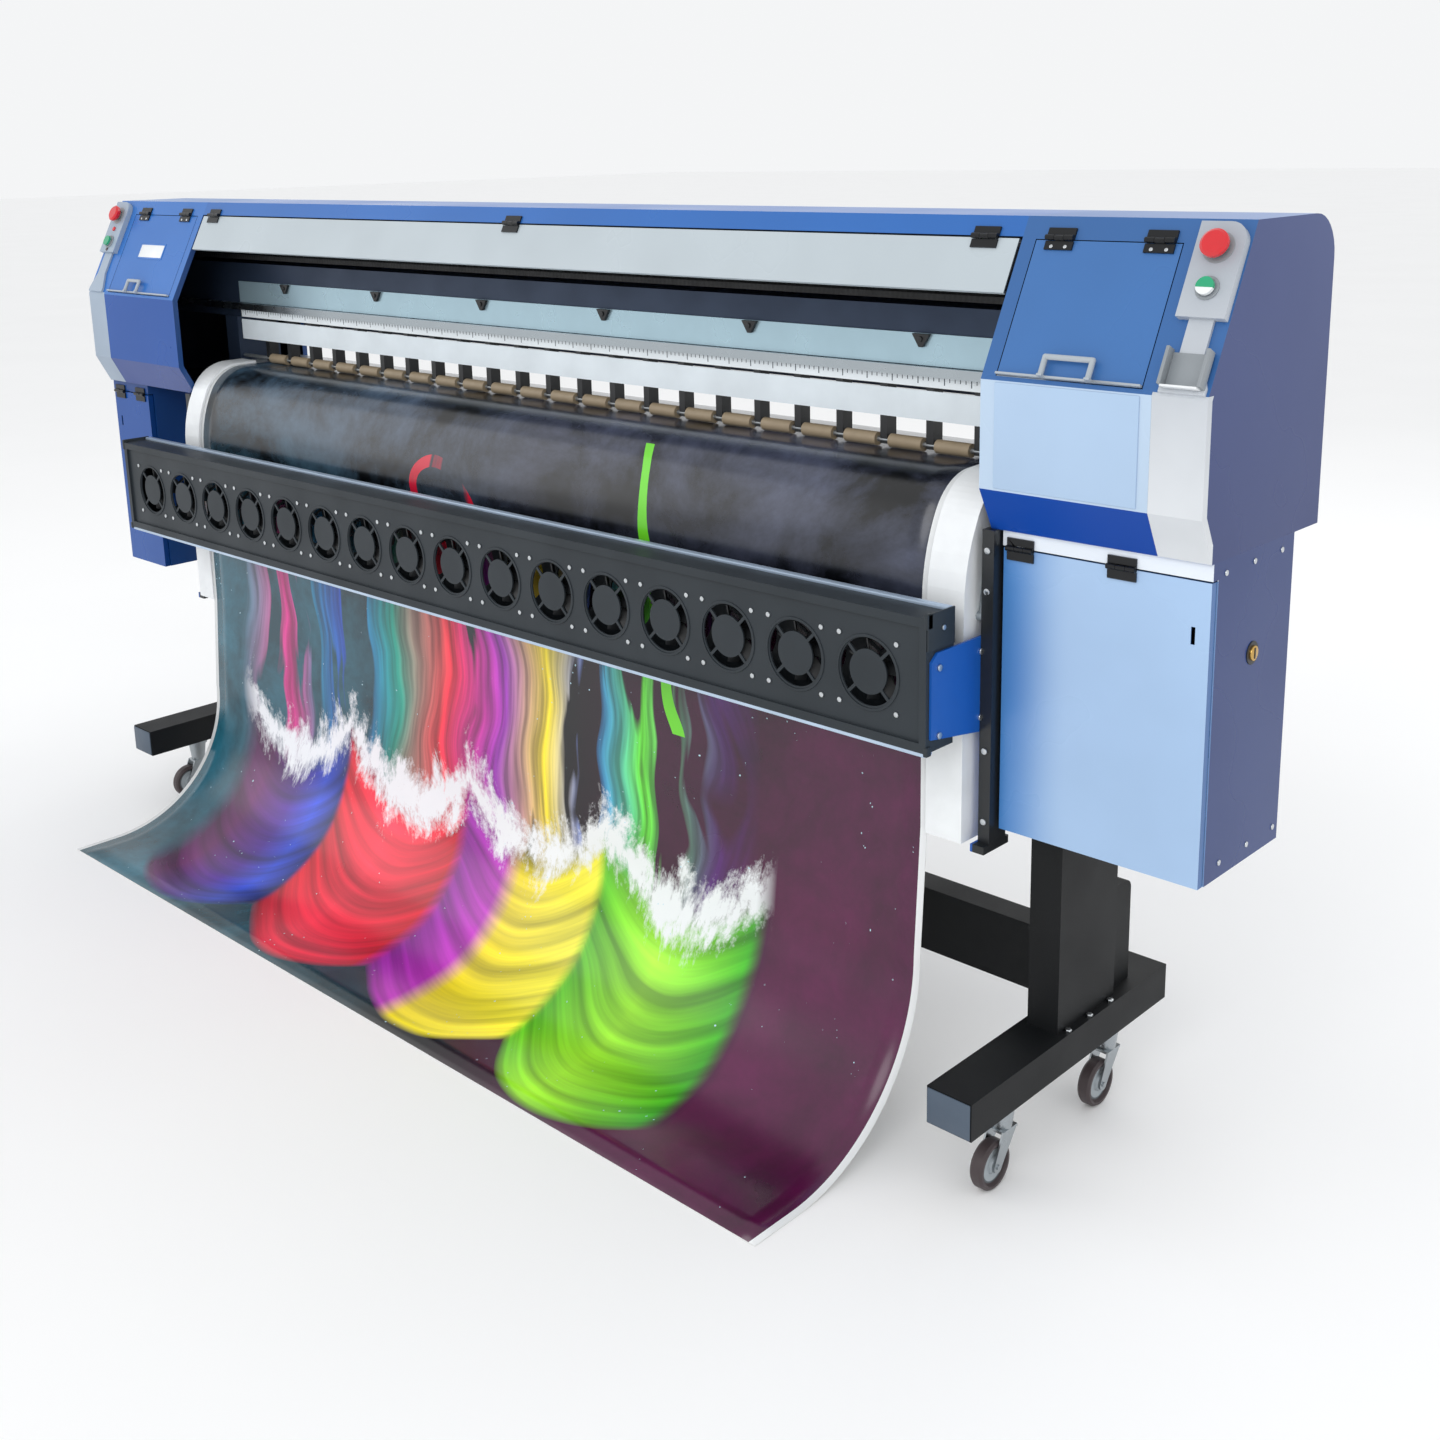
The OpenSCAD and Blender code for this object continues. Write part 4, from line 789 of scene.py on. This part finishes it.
# bracket screws: through the blue plate, the right end cap and the upright
shape = Shape()
plate_x, upright_x, upright_y = 1.128, 1.138, -0.0515
for y, z in ((-0.152, 0.690), (-0.152, 0.790), (-0.052, 0.690), (-0.052, 0.790)):
    shape.pin((plate_x - 0.0005, y, z), (plate_x + 0.0032, y, z), 0.0050, sides=16, round_mm=0.8)
y, z = -0.141, 0.846
shape.pin((bar_high.x + 0.0028, y, z), (bar_high.x + 0.0052, y, z), 0.0040, sides=16, round_mm=0.8)
for z in (0.530, 0.640, 0.880, 0.940):
    shape.pin((upright_x, upright_y, z), (upright_x, upright_y - 0.0035, z), 0.0050, sides=16, round_mm=0.8)
shape.piece("bracket_screws", "frame", "pulley_metal", zinc)

# beam cover: small black clips along its top edge
clip_y, clip_top, clip_foot = 0.0972, 1.2175, 1.197
shape = Shape()
for x in (-0.866, -0.516, -0.160, 0.193, 0.554, 0.910):
    outline = [(x - 0.017, clip_y, clip_top), (x + 0.017, clip_y, clip_top),
               (x + 0.004, clip_y, clip_foot), (x - 0.004, clip_y, clip_foot)]
    shape.plate(outline, (0, -0.0062, 0), 1.0)
    shape.pin((x, 0.0915, 1.2095), (x, 0.0885, 1.2095), 0.0045, sides=16, round_mm=0.6)
shape.piece("cover_clips", "frame", "holder_black", black_nylon)

# right pod: a raised front panel, glossier than the shell round it, in blue enamel made pale by a painted
# reflection
right_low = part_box("right_pod_shell")[0]
front_panel_painted_reflection = panel_enamel("blue_enamel_front_panel_painted_reflection", "#abc3de", "#6f93c6", rough=0.26)
shape = Shape()
shape.block((1.1585, right_low.y - 0.0018, 1.0365), (1.3785, right_low.y + 0.0005, 1.1835), 1.2)
shape.piece("right_front_panel", "frame", "door_pale", front_panel_painted_reflection)

# control towers: bezels, lamps and the pen pocket, each placed by x, how far out of the slope, and down it
panel_mid, left_mid = 1.436, -1.436
shape = Shape()
for x in (panel_mid, left_mid):
    shape.ring((x, 0.0118, 0.044), (x, 0.0128, 0.044), 0.0215, 0.0105, turn=SLOPE)
for x, s in ((panel_mid, 0.099), (left_mid, 0.112)):
    shape.ring((x, 0.0118, s), (x, 0.0143, s), 0.0162, 0.0127, turn=SLOPE)
shape.piece("button_bezels", "frame", "tower_grey", grey_abs)

shape = Shape()
shape.pin((left_mid, 0.0115, 0.079), (left_mid, 0.0150, 0.079), 0.0055, round_mm=1.2, turn=SLOPE)
shape.pin((left_mid, 0.0115, 0.1315), (left_mid, 0.0140, 0.1315), 0.0040, round_mm=1.0, turn=SLOPE, index=1)
shape.piece("left_lamps", "frame", "stop_red", [signal_red, signal_dark])

# the pocket: two walls, a back between them and a white front plate
shape = Shape()
pocket_left, pocket_right, pocket_foot = 1.412, 1.462, 0.231
shape.block((pocket_left - 0.005, 0.0040, 0.180), (pocket_left, 0.0200, pocket_foot), turn=SLOPE)
shape.block((pocket_right, 0.0040, 0.180), (pocket_right + 0.005, 0.0200, pocket_foot), turn=SLOPE)
shape.block((pocket_left, 0.0040, 0.184), (pocket_right, 0.0062, pocket_foot), 0.4, turn=SLOPE)
outline = [(pocket_left - 0.0002, 0.0060, 0.229), (pocket_right + 0.0002, 0.0060, 0.229),
           (pocket_right + 0.0002, 0.0190, pocket_foot), (pocket_left - 0.0002, 0.0190, pocket_foot)]
shape.plate(outline, (0, 0.0006, 0.003), 0.3, turn=SLOPE, index=1)
shape.piece("pen_pocket", "frame", "tower_grey", [grey_abs, white_abs])

# left lid: a plain white plate on a blue film, with nothing written on it
shape = Shape()
shape.block((-1.298, 0.0, 0.107), (-1.185, 0.0010, 0.146), 0.4, turn=SLOPE)
shape.block((-1.294, 0.0008, 0.111), (-1.189, 0.0016, 0.142), 0.3, turn=SLOPE, index=1)
# Label film: blue, smooth and satin
label_rim = moulded("blue_label_film", "#2f73c4", 0.35, bump=0.03)
shape.piece("left_lid_plate", "left_lid", "guide_white", [label_rim, white_abs])

# right cabinet: a brass cam lock with a dark key slot, in a black escutcheon
skin_x = 1.4715
lock_y, lock_z = 0.086, 0.823
shape = Shape()
shape.ring((skin_x, lock_y, lock_z), (skin_x + 0.002, lock_y, lock_z), 0.0165, 0.0105, index=1)
shape.pin((skin_x, lock_y, lock_z), (skin_x + 0.005, lock_y, lock_z), 0.0106, sides=32, round_mm=0.8)
shape.block((skin_x + 0.0045, lock_y - 0.0015, lock_z - 0.0075),
            (skin_x + 0.0057, lock_y + 0.0015, lock_z + 0.0075), 0.2, index=1)
shape.piece("cabinet_lock", "frame", "pulley_metal", [lock_brass, black_nylon])

# both cabinets: panel screws in the outer sides
shape = Shape()
for x, way, z, places in ((skin_x, 1, 0.952, (0.000, 0.080, 0.160)),
                          (skin_x, 1, 0.540, (0.020, 0.100, 0.180)),
                          (-skin_x, -1, 0.952, (0.010, 0.090, 0.170))):
    for y in places:
        shape.pin((x, y, z), (x + way * 0.0022, y, z), 0.0042, sides=16, round_mm=0.8)
shape.piece("cabinet_screws", "frame", "pulley_metal", zinc)

# lid hinges: two screws in each leaf
for side, middles in (("right", (1.197, 1.348)), ("left", (-1.330, -1.141))):
    shape = Shape()
    for x in middles:
        for dx in (-0.011, 0.011):
            shape.pin((x + dx, 0.0012, 0.0455), (x + dx, 0.0034, 0.0455), 0.0028, sides=12, round_mm=0.6,
                      turn=SLOPE)
    shape.piece(side + "_lid_hinge_screws", side + "_lid", "pulley_metal", zinc)

# stand: end caps in the feet, and the bolts that hold the columns
shape, bolts = Shape(), Shape()
foot_low, foot_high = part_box("legs")
for x in (-1.103, 1.214):
    for y, way in ((foot_low.y, -1), (foot_high.y, 1)):
        shape.block((x - 0.0368, min(y, y + way * 0.0025), 0.1418),
                    (x + 0.0368, max(y, y + way * 0.0025), 0.1972), 1.6)
    for dx in (-0.0325, 0.0325):
        for y in (0.020, 0.080, 0.140):
            bolts.pin((x + dx, y, 0.1985), (x + dx, y, 0.2035), 0.0052, sides=6, round_mm=0.5)
shape.piece("foot_caps", "frame", "frame_black", cap_plastic)
bolts.piece("column_bolts", "frame", "pulley_metal", zinc)

# rear: louvred vents on the pods, and screws along the back covers
first_louvre, louvre_pitch = 1.130, 0.018
shape, marks = Shape(), Shape()
for low, high in (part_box("left_pod_shell"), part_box("right_pod_shell")):
    mid = (low.x + high.x) / 2
    for i in range(6):
        z = first_louvre + i * louvre_pitch
        shape.block((mid - 0.060, high.y - 0.0005, z), (mid + 0.060, high.y + 0.0045, z + 0.007), 1.6)
    for x in (low.x + 0.020, high.x - 0.020):
        for z in (1.000, 1.150, 1.290):
            marks.pin((x, high.y - 0.0005, z), (x, high.y + 0.0022, z), 0.0042, sides=16, round_mm=0.8)
cover_low, cover_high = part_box("top_cover")
for i in range(9):
    x = cover_low.x + 0.060 + i * (cover_high.x - cover_low.x - 0.120) / 8
    marks.pin((x, cover_high.y - 0.0005, 1.115), (x, cover_high.y + 0.0022, 1.115), 0.0042, sides=16,
              round_mm=0.8)
shape.piece("rear_louvres", "frame", "pod_navy", right_paint)
marks.piece("rear_screws", "frame", "pulley_metal", zinc)

# ---------------------------------------------------------------- printed sheet

ROLL = Vector((0.392, 0.722))
LIP = Vector((0.235, 1.012))


def sheet_line():
    """The sheet's way from the roll, over the platen and the guide, down and out along the floor.
    Each point is y and z, in metres."""
    points = []
    for i in range(6):
        a = math.radians(38.03 + (90 - 38.03) * i / 5)
        if i == 0:
            points.append((ROLL.x + 0.0757 * math.cos(a), ROLL.y + 0.0757 * math.sin(a)))
        points.append((LIP.x + 0.0207 * math.cos(a), LIP.y + 0.0207 * math.sin(a)))
    points.append((0.160, 1.0327))
    points.append((0.088, 1.0327))
    for i in range(11):
        a = math.radians(90 + 6.2 * i)
        points.append((0.04495 + 0.0947 * math.cos(a), 0.938 + 0.0947 * math.sin(a)))
    for i in range(1, 8):
        a = math.radians(152 + 4 * i)
        points.append((0.2030 + 0.2737 * math.cos(a), 0.85396 + 0.2737 * math.sin(a)))
    for z in (0.81, 0.76, 0.71, 0.66, 0.61, 0.56, 0.50):
        points.append((-0.0707, z))
    for i in range(0, 91, 3):
        a = math.radians(i)
        points.append((-0.0847 - 0.290 * (1 - math.cos(a)), 0.0014 + 0.290 * (1 - math.sin(a))))
    points.append((-0.420, 0.0014))
    points.append((-0.467, 0.0014))
    return points


def print_artwork():
    """Eco-solvent print on glossy white vinyl: streams of coloured ink that fall into blurred cups of colour,
    on a dark cloud. The pattern lies on the sheet's own lengths in metres, so it follows every bend, and a
    noise scale is the number of its cells in a metre."""
    stuff, tree, shader, spot = begin("printed_glossy_vinyl")
    uv = add(tree, "UVMap", uv_map="metres").outputs[0]
    u, v = add(tree, "SeparateXYZ", {0: uv}).outputs[:2]
    # slow swirl that bends every other pattern
    drift = add(tree, "TexNoise", {"Vector": uv, "Scale": 2.2, "Detail": 2.0})
    pull = add(tree, "VectorMath", {0: drift.outputs["Color"], 1: (0.5, 0.5, 0.5)}, operation="SUBTRACT")
    push = add(tree, "VectorMath", {0: pull.outputs[0], "Scale": 0.24}, operation="SCALE")
    bent = add(tree, "VectorMath", {0: uv, 1: push.outputs[0]}, operation="ADD").outputs[0]
    # cloud: near black above, teal at the left, purple at the right
    cloud = add(tree, "TexNoise", {"Vector": bent, "Scale": 3.2, "Detail": 9.0, "Roughness": 0.68})
    lit = add(tree, "MapRange", {0: cloud.outputs[0], 1: 0.40, 2: 0.72, 3: 0.0, 4: 1.0})
    to_left = add(tree, "MapRange", {0: u, 1: 0.0, 2: 1.15, 3: 1.0, 4: 0.0})
    to_right = add(tree, "MapRange", {0: u, 1: 1.25, 2: 1.80, 3: 0.0, 4: 1.0})
    hang = add(tree, "MapRange", {0: v, 1: 0.80, 2: 1.05, 3: 0.0, 4: 1.0})
    low_down = add(tree, "MapRange", {0: v, 1: 0.70, 2: 1.00, 3: 0.35, 4: 1.0})
    teal = add(tree, "Math", {0: to_left.outputs[0], 1: lit.outputs[0]}, operation="MULTIPLY")
    teal = add(tree, "Math", {0: teal.outputs[0], 1: low_down.outputs[0]}, operation="MULTIPLY")
    high_up = add(tree, "MapRange", {0: v, 1: 0.62, 2: 0.95, 3: 1.0, 4: 0.0})
    haze = add(tree, "Math", {0: lit.outputs[0], 1: high_up.outputs[0]}, operation="MULTIPLY")
    colour = add(tree, "Mix", {0: haze.outputs[0], 6: linear("#05070b"), 7: linear("#5a6078")},
                 data_type="RGBA").outputs[2]
    colour = add(tree, "Mix", {0: teal.outputs[0], 6: colour, 7: linear("#4a9ab4")},
                 data_type="RGBA").outputs[2]
    plum = add(tree, "Math", {0: to_right.outputs[0], 1: hang.outputs[0]}, operation="MULTIPLY").outputs[0]
    glow = add(tree, "MapRange", {0: cloud.outputs[0], 1: 0.30, 2: 0.75, 3: 0.25, 4: 1.0})
    plum = add(tree, "Math", {0: plum, 1: glow.outputs[0]}, operation="MULTIPLY").outputs[0]
    colour = add(tree, "Mix", {0: plum, 6: colour, 7: linear("#6a1250")}, data_type="RGBA").outputs[2]
    deep = add(tree, "Math", {0: to_left.outputs[0], 1: hang.outputs[0]}, operation="MULTIPLY").outputs[0]
    deep = add(tree, "Math", {0: deep, 1: 0.55}, operation="MULTIPLY").outputs[0]
    colour = add(tree, "Mix", {0: deep, 6: colour, 7: linear("#0f5a6e")}, data_type="RGBA").outputs[2]
    # streams of ink: long drips whose hue changes across the sheet
    bent_u = add(tree, "SeparateXYZ", {0: bent}).outputs[0]
    across = add(tree, "MapRange", {0: bent_u, 1: 0.10, 2: 2.05})
    inks = add(tree, "ValToRGB", {0: across.outputs[0]})
    stream_hues = [(0.0, "#1c8fa0"), (0.10, "#c41f7c"), (0.16, "#18708c"), (0.24, "#1d3fae"),
                   (0.32, "#15907c"), (0.40, "#e0203c"), (0.48, "#9b2fb4"), (0.55, "#e9d21e"),
                   (0.62, "#2468d8"), (0.69, "#5fcf2e"), (0.78, "#5a2486"), (1.0, "#501040")]
    long_drip = add(tree, "Mapping", {0: bent, 3: (12.0, 1.3, 1.0)})
    drip = add(tree, "TexNoise",
               {"Vector": long_drip.outputs[0], "Scale": 1.0, "Detail": 3.0, "Distortion": 0.5})
    thick = add(tree, "MapRange", {0: drip.outputs[0], 1: 0.46, 2: 0.50, 3: 0.0, 4: 1.0})
    starts = add(tree, "MapRange", {0: v, 1: 0.80, 2: 0.98, 3: 0.0, 4: 1.0})
    ends = add(tree, "MapRange", {0: v, 1: 1.36, 2: 1.48, 3: 1.0, 4: 0.0})
    side = add(tree, "MapRange", {0: u, 1: 1.55, 2: 1.72, 3: 1.0, 4: 0.0})
    begun = add(tree, "MapRange", {0: u, 1: 0.10, 2: 0.22, 3: 0.0, 4: 1.0})
    share = thick.outputs[0]
    for part in (starts, ends, side, begun):
        share = add(tree, "Math", {0: share, 1: part.outputs[0]}, operation="MULTIPLY").outputs[0]
    fine = add(tree, "Mapping", {0: bent, 3: (55.0, 3.0, 1.0)})
    gleam = add(tree, "TexNoise", {"Vector": fine.outputs[0], "Scale": 1.0, "Detail": 2.0})
    sheen = add(tree, "MapRange", {0: gleam.outputs[0], 1: 0.35, 2: 0.70, 3: 0.55, 4: 1.6})
    liquid = add(tree, "Mix", {0: 1.0, 6: inks.outputs[0], 7: sheen.outputs[0]}, data_type="RGBA",
                 blend_type="MULTIPLY")
    colour = add(tree, "Mix", {0: share, 6: colour, 7: liquid.outputs[2]}, data_type="RGBA").outputs[2]
    # the cups: broad blurred bands on shallow arcs, one cup in each 0.40 m
    steady = add(tree, "Mix", {0: 0.35, 4: uv, 5: bent}, data_type="VECTOR").outputs[1]
    steady_u, steady_v = add(tree, "SeparateXYZ", {0: steady}).outputs[:2]
    cup = add(tree, "Math", {0: steady_u, 1: 0.55, 2: 0.15}, operation="WRAP")
    cup = add(tree, "Math", {0: cup.outputs[0], 1: 0.35}, operation="SUBTRACT")
    bow = add(tree, "Math", {0: cup.outputs[0], 1: 2.0}, operation="POWER")
    bow = add(tree, "Math", {0: bow.outputs[0], 1: 2.4}, operation="MULTIPLY").outputs[0]
    level = add(tree, "Math", {0: steady_v, 1: bow}, operation="ADD").outputs[0]
    across = add(tree, "MapRange", {0: steady_u, 1: 0.15, 2: 1.75})
    bands = add(tree, "ValToRGB", {0: across.outputs[0]})
    cup_hues = [(0.0, "#40123f"), (0.06, "#64205f"), (0.14, "#4a1f8c"), (0.20, "#2b49c8"),
                (0.245, "#16246e"), (0.255, "#d0142c"), (0.36, "#f5304a"), (0.485, "#c8142c"),
                (0.505, "#8c1c96"), (0.58, "#b42cb4"), (0.61, "#e8d21c"), (0.74, "#f2e83c"),
                (0.755, "#58b81c"), (0.86, "#a0ec2c"), (0.985, "#3aa81c"), (1.0, "#2a0f30")]
    for band, hues in ((inks, stream_hues), (bands, cup_hues)):
        ramp = band.color_ramp
        ramp.elements[0].position, ramp.elements[0].color = hues[0][0], linear(hues[0][1])
        ramp.elements[1].position, ramp.elements[1].color = hues[-1][0], linear(hues[-1][1])
        for where, code in hues[1:-1]:
            ramp.elements.new(where).color = linear(code)
    # the streaks run along the arcs, 20 times finer across them
    along = add(tree, "Math", {0: u, 1: 1.1}, operation="MULTIPLY")
    down = add(tree, "Math", {0: level, 1: 22.0}, operation="MULTIPLY")
    sweep = add(tree, "CombineXYZ", {0: along.outputs[0], 1: down.outputs[0]})
    blur = add(tree, "TexNoise", {"Vector": sweep.outputs[0], "Scale": 1.0, "Detail": 4.0})
    streak = add(tree, "MapRange", {0: blur.outputs[0], 1: 0.32, 2: 0.68, 3: 0.50, 4: 1.6})
    spun = add(tree, "Mix", {0: 1.0, 6: bands.outputs[0], 7: streak.outputs[0]}, data_type="RGBA",
               blend_type="MULTIPLY")
    opens = add(tree, "MapRange", {0: level, 1: 1.41, 2: 1.46, 3: 0.0, 4: 1.0})
    shuts = add(tree, "MapRange", {0: level, 1: 1.855, 2: 1.875, 3: 1.0, 4: 0.0})
    left_end = add(tree, "MapRange", {0: steady_u, 1: 0.13, 2: 0.19, 3: 0.0, 4: 1.0})
    right_end = add(tree, "MapRange", {0: steady_u, 1: 1.72, 2: 1.76, 3: 1.0, 4: 0.0})
    share = opens.outputs[0]
    for part in (shuts, left_end, right_end):
        share = add(tree, "Math", {0: share, 1: part.outputs[0]}, operation="MULTIPLY").outputs[0]
    colour = add(tree, "Mix", {0: share, 6: colour, 7: spun.outputs[2]}, data_type="RGBA").outputs[2]
    # white spray where the streams meet the cups, and fine droplets
    tall = add(tree, "Mapping", {0: bent, 3: (1.5, 0.75, 1.0)})
    spray = add(tree, "TexNoise",
                {"Vector": tall.outputs[0], "Scale": 10.0, "Detail": 12.0, "Roughness": 0.78})
    reach = add(tree, "Math", {0: level, 1: 1.415}, operation="SUBTRACT")
    reach = add(tree, "Math", {0: reach.outputs[0]}, operation="ABSOLUTE")
    near = add(tree, "MapRange", {0: reach.outputs[0], 1: 0.0, 2: 0.20, 3: 0.50, 4: 0.0})
    foam = add(tree, "Math", {0: spray.outputs[0], 1: near.outputs[0]}, operation="ADD")
    foam = add(tree, "MapRange", {0: foam.outputs[0], 1: 0.84, 2: 0.96, 3: 0.0, 4: 1.0})
    white = foam.outputs[0]
    for part in (left_end, right_end):
        white = add(tree, "Math", {0: white, 1: part.outputs[0]}, operation="MULTIPLY").outputs[0]
    colour = add(tree, "Mix", {0: white, 6: colour, 7: linear("#f4f6fa")}, data_type="RGBA").outputs[2]
    dots = add(tree, "TexVoronoi", {"Vector": bent, "Scale": 60.0})
    drop = add(tree, "Math", {0: dots.outputs["Distance"], 1: 0.10}, operation="LESS_THAN")
    some = add(tree, "Math", {0: spray.outputs[0], 1: 0.56}, operation="GREATER_THAN")
    some = add(tree, "Math", {0: some.outputs[0], 1: drop.outputs[0]}, operation="MULTIPLY")
    some = add(tree, "Math", {0: some.outputs[0], 1: starts.outputs[0]}, operation="MULTIPLY")
    colour = add(tree, "Mix", {0: some.outputs[0], 6: colour, 7: linear("#bfe3f2")},
                 data_type="RGBA").outputs[2]
    # a red arc and a green streak high up
    off = add(tree, "VectorMath", {0: bent, 1: (0.93, 0.80, 0.0)}, operation="DISTANCE").outputs["Value"]
    broken = add(tree, "MapRange", {0: drip.outputs[0], 1: 0.42, 2: 0.5})
    arc = add(tree, "Math", {0: between(tree, off, 0.085, 0.108), 1: broken.outputs[0]}, operation="MULTIPLY")
    colour = add(tree, "Mix", {0: arc.outputs[0], 6: colour, 7: linear("#d21c3a")},
                 data_type="RGBA").outputs[2]
    place = add(tree, "SeparateXYZ", {0: bent}).outputs
    slant = add(tree, "Math", {0: place[1], 1: -0.25, 2: place[0]}, operation="MULTIPLY_ADD").outputs[0]
    green = add(tree, "Math", {0: between(tree, slant, 1.262, 1.288), 1: between(tree, v, 0.60, 1.1)},
                operation="MULTIPLY")
    colour = add(tree, "Mix", {0: green.outputs[0], 6: colour, 7: linear("#6fd82c")},
                 data_type="RGBA").outputs[2]
    # a bare white margin of 12 mm down both edges, and unprinted vinyl before the print heads
    inside = between(tree, u, 0.012, 2.042)
    printed = between(tree, v, 0.430, 9)
    ink = add(tree, "Math", {0: inside, 1: printed}, operation="MULTIPLY").outputs[0]
    colour = add(tree, "Mix", {0: ink, 6: linear("#eef0f1"), 7: colour}, data_type="RGBA").outputs[2]
    finish_skin(tree, shader, spot, colour, 0.24, vary=0.03, cloud_mm=250, grain_mm=2.5, bump=0.04,
                smudge=0.04)
    shader.inputs["Coat Weight"].default_value = 0.12
    shader.inputs["Coat Roughness"].default_value = 0.15
    return stuff


line = sheet_line()
lengths = [0.0]
for a, b in zip(line, line[1:]):
    lengths.append(lengths[-1] + (Vector(b) - Vector(a)).length)
sheet_low, sheet_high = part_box("printed_media")
width, steps = sheet_high.x - sheet_low.x, 40
bm = bmesh.new()
row = [bm.verts.new((sheet_low.x, y, z)) for y, z in line]
edges = [bm.edges.new(pair) for pair in zip(row, row[1:])]
down = {(round(y, 5), round(z, 5)): s for (y, z), s in zip(line, lengths)}
for i in range(steps):
    made = bmesh.ops.extrude_edge_only(bm, edges=edges)["geom"]
    moved = [g for g in made if isinstance(g, bmesh.types.BMVert)]
    edges = [g for g in made if isinstance(g, bmesh.types.BMEdge)]
    bmesh.ops.translate(bm, vec=(width / steps, 0, 0), verts=moved)
layer = bm.loops.layers.uv.new("metres")
for face in bm.faces:
    face.smooth = True
    for loop in face.loops:
        p = loop.vert.co
        loop[layer].uv = (p.x - sheet_low.x, down[(round(p.y, 5), round(p.z, 5))])
bmesh.ops.recalc_face_normals(bm, faces=bm.faces[:])
# the face that lies on the platen has to look up
on_platen = min(bm.faces, key=lambda f: abs(f.calc_center_median().y - 0.12) + abs(f.calc_center_median().x))
if on_platen.normal.z < 0:
    bmesh.ops.reverse_faces(bm, faces=bm.faces[:])
# the free part waves a few millimetres forwards
for vert in bm.verts:
    s = down[(round(vert.co.y, 5), round(vert.co.z, 5))]
    across = (vert.co.x - sheet_low.x) / width
    free = max(0.0, min(1.0, (s - 0.95) / 0.35)) * max(0.0, min(1.0, (1.86 - s) / 0.5))
    vert.co.y -= free * 0.004 * (1 + math.sin(across * 9.0 + s * 2.0))
mesh = bpy.data.meshes.new("printed_sheet")
bm.to_mesh(mesh)
bm.free()
printed_sheet = bpy.data.objects.new("printed_sheet", mesh)
bpy.context.scene.collection.objects.link(printed_sheet)
mesh.materials.append(print_artwork())
# The back of the vinyl: plain white liner, matt
mesh.materials.append(moulded("white_release_liner", "#e8e8e6", 0.6, grain_mm=1.5, bump=0.08))
thick = printed_sheet.modifiers.new("vinyl_thickness", "SOLIDIFY")
thick.thickness, thick.offset = 0.0008, 0.0
thick.material_offset, thick.material_offset_rim = 1, 1
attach(printed_sheet, "frame")
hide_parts("printed_media")

# ---------------------------------------------------------------- floor, light and camera

bm = bmesh.new()
bmesh.ops.create_grid(bm, x_segments=2, y_segments=2, size=60)
mesh = bpy.data.meshes.new("studio_floor")
bm.to_mesh(mesh)
bm.free()
floor = bpy.data.objects.new("studio_floor", mesh)
bpy.context.scene.collection.objects.link(floor)
# Floor: matt white seamless paper, so that only soft shadows show on it
stuff, tree, shader, spot = begin("pale_studio_floor")
finish_skin(tree, shader, spot, linear("#fafafa"), 0.85, vary=0.01, cloud_mm=900, grain_mm=3.0, bump=0.03,
            smudge=0.02)
mesh.materials.append(stuff)
floor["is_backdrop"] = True

world = bpy.data.worlds.new("pale_studio")
bpy.context.scene.world = world
world.use_nodes = True
world.node_tree.nodes["Background"].inputs[0].default_value = linear("#fbfcfd")
world.node_tree.nodes["Background"].inputs[1].default_value = 0.94
# Soft lights: name, place, what it points at, width in metres, and watts
for name, spot, aim, size, watts in (("key_light", (2.6, -4.6, 3.9), (0.2, 0.0, 0.7), 3.2, 75),
                                     ("fill_light", (-4.4, -3.4, 2.8), (0.0, 0.0, 0.7), 3.6, 30),
                                     ("rim_light", (0.5, 4.2, 4.0), (0.0, 0.1, 1.0), 3.0, 30),
                                     ("side_light", (5.2, 0.6, 2.2), (1.3, 0.0, 0.9), 2.6, 6)):
    data = bpy.data.lights.new(name, "AREA")
    data.shape, data.size, data.energy = "DISK", size, watts
    lamp = bpy.data.objects.new(name, data)
    lamp.location = spot
    lamp.rotation_euler = (Vector(aim) - Vector(spot)).to_track_quat("-Z", "Y").to_euler()
    bpy.context.scene.collection.objects.link(lamp)

# Camera: it stands to the right of the machine's front, level with the top, and looks a little down
place = Vector((2.436, -1.948, 1.510))
yaw, pitch, roll = math.radians(43.856), math.radians(13.536), math.radians(1.300)
ahead = Vector((-math.sin(yaw) * math.cos(pitch), math.cos(yaw) * math.cos(pitch), -math.sin(pitch)))
right = Vector((math.cos(yaw), math.sin(yaw), 0))
under = ahead.cross(right)
across = right * math.cos(roll) + under * math.sin(roll)
below = -right * math.sin(roll) + under * math.cos(roll)
data = bpy.data.cameras.new("camera")
data.lens, data.sensor_width, data.shift_x, data.shift_y = 41.42, 36, 0.0, -0.125
camera = bpy.data.objects.new("camera", data)
camera.matrix_world = Matrix(((across.x, -below.x, -ahead.x, place.x),
                              (across.y, -below.y, -ahead.y, place.y),
                              (across.z, -below.z, -ahead.z, place.z),
                              (0, 0, 0, 1)))
bpy.context.scene.collection.objects.link(camera)
bpy.context.scene.camera = camera

# Colours show as they are, with no film curve
bpy.context.scene.view_settings.view_transform = "Standard"

low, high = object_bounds()
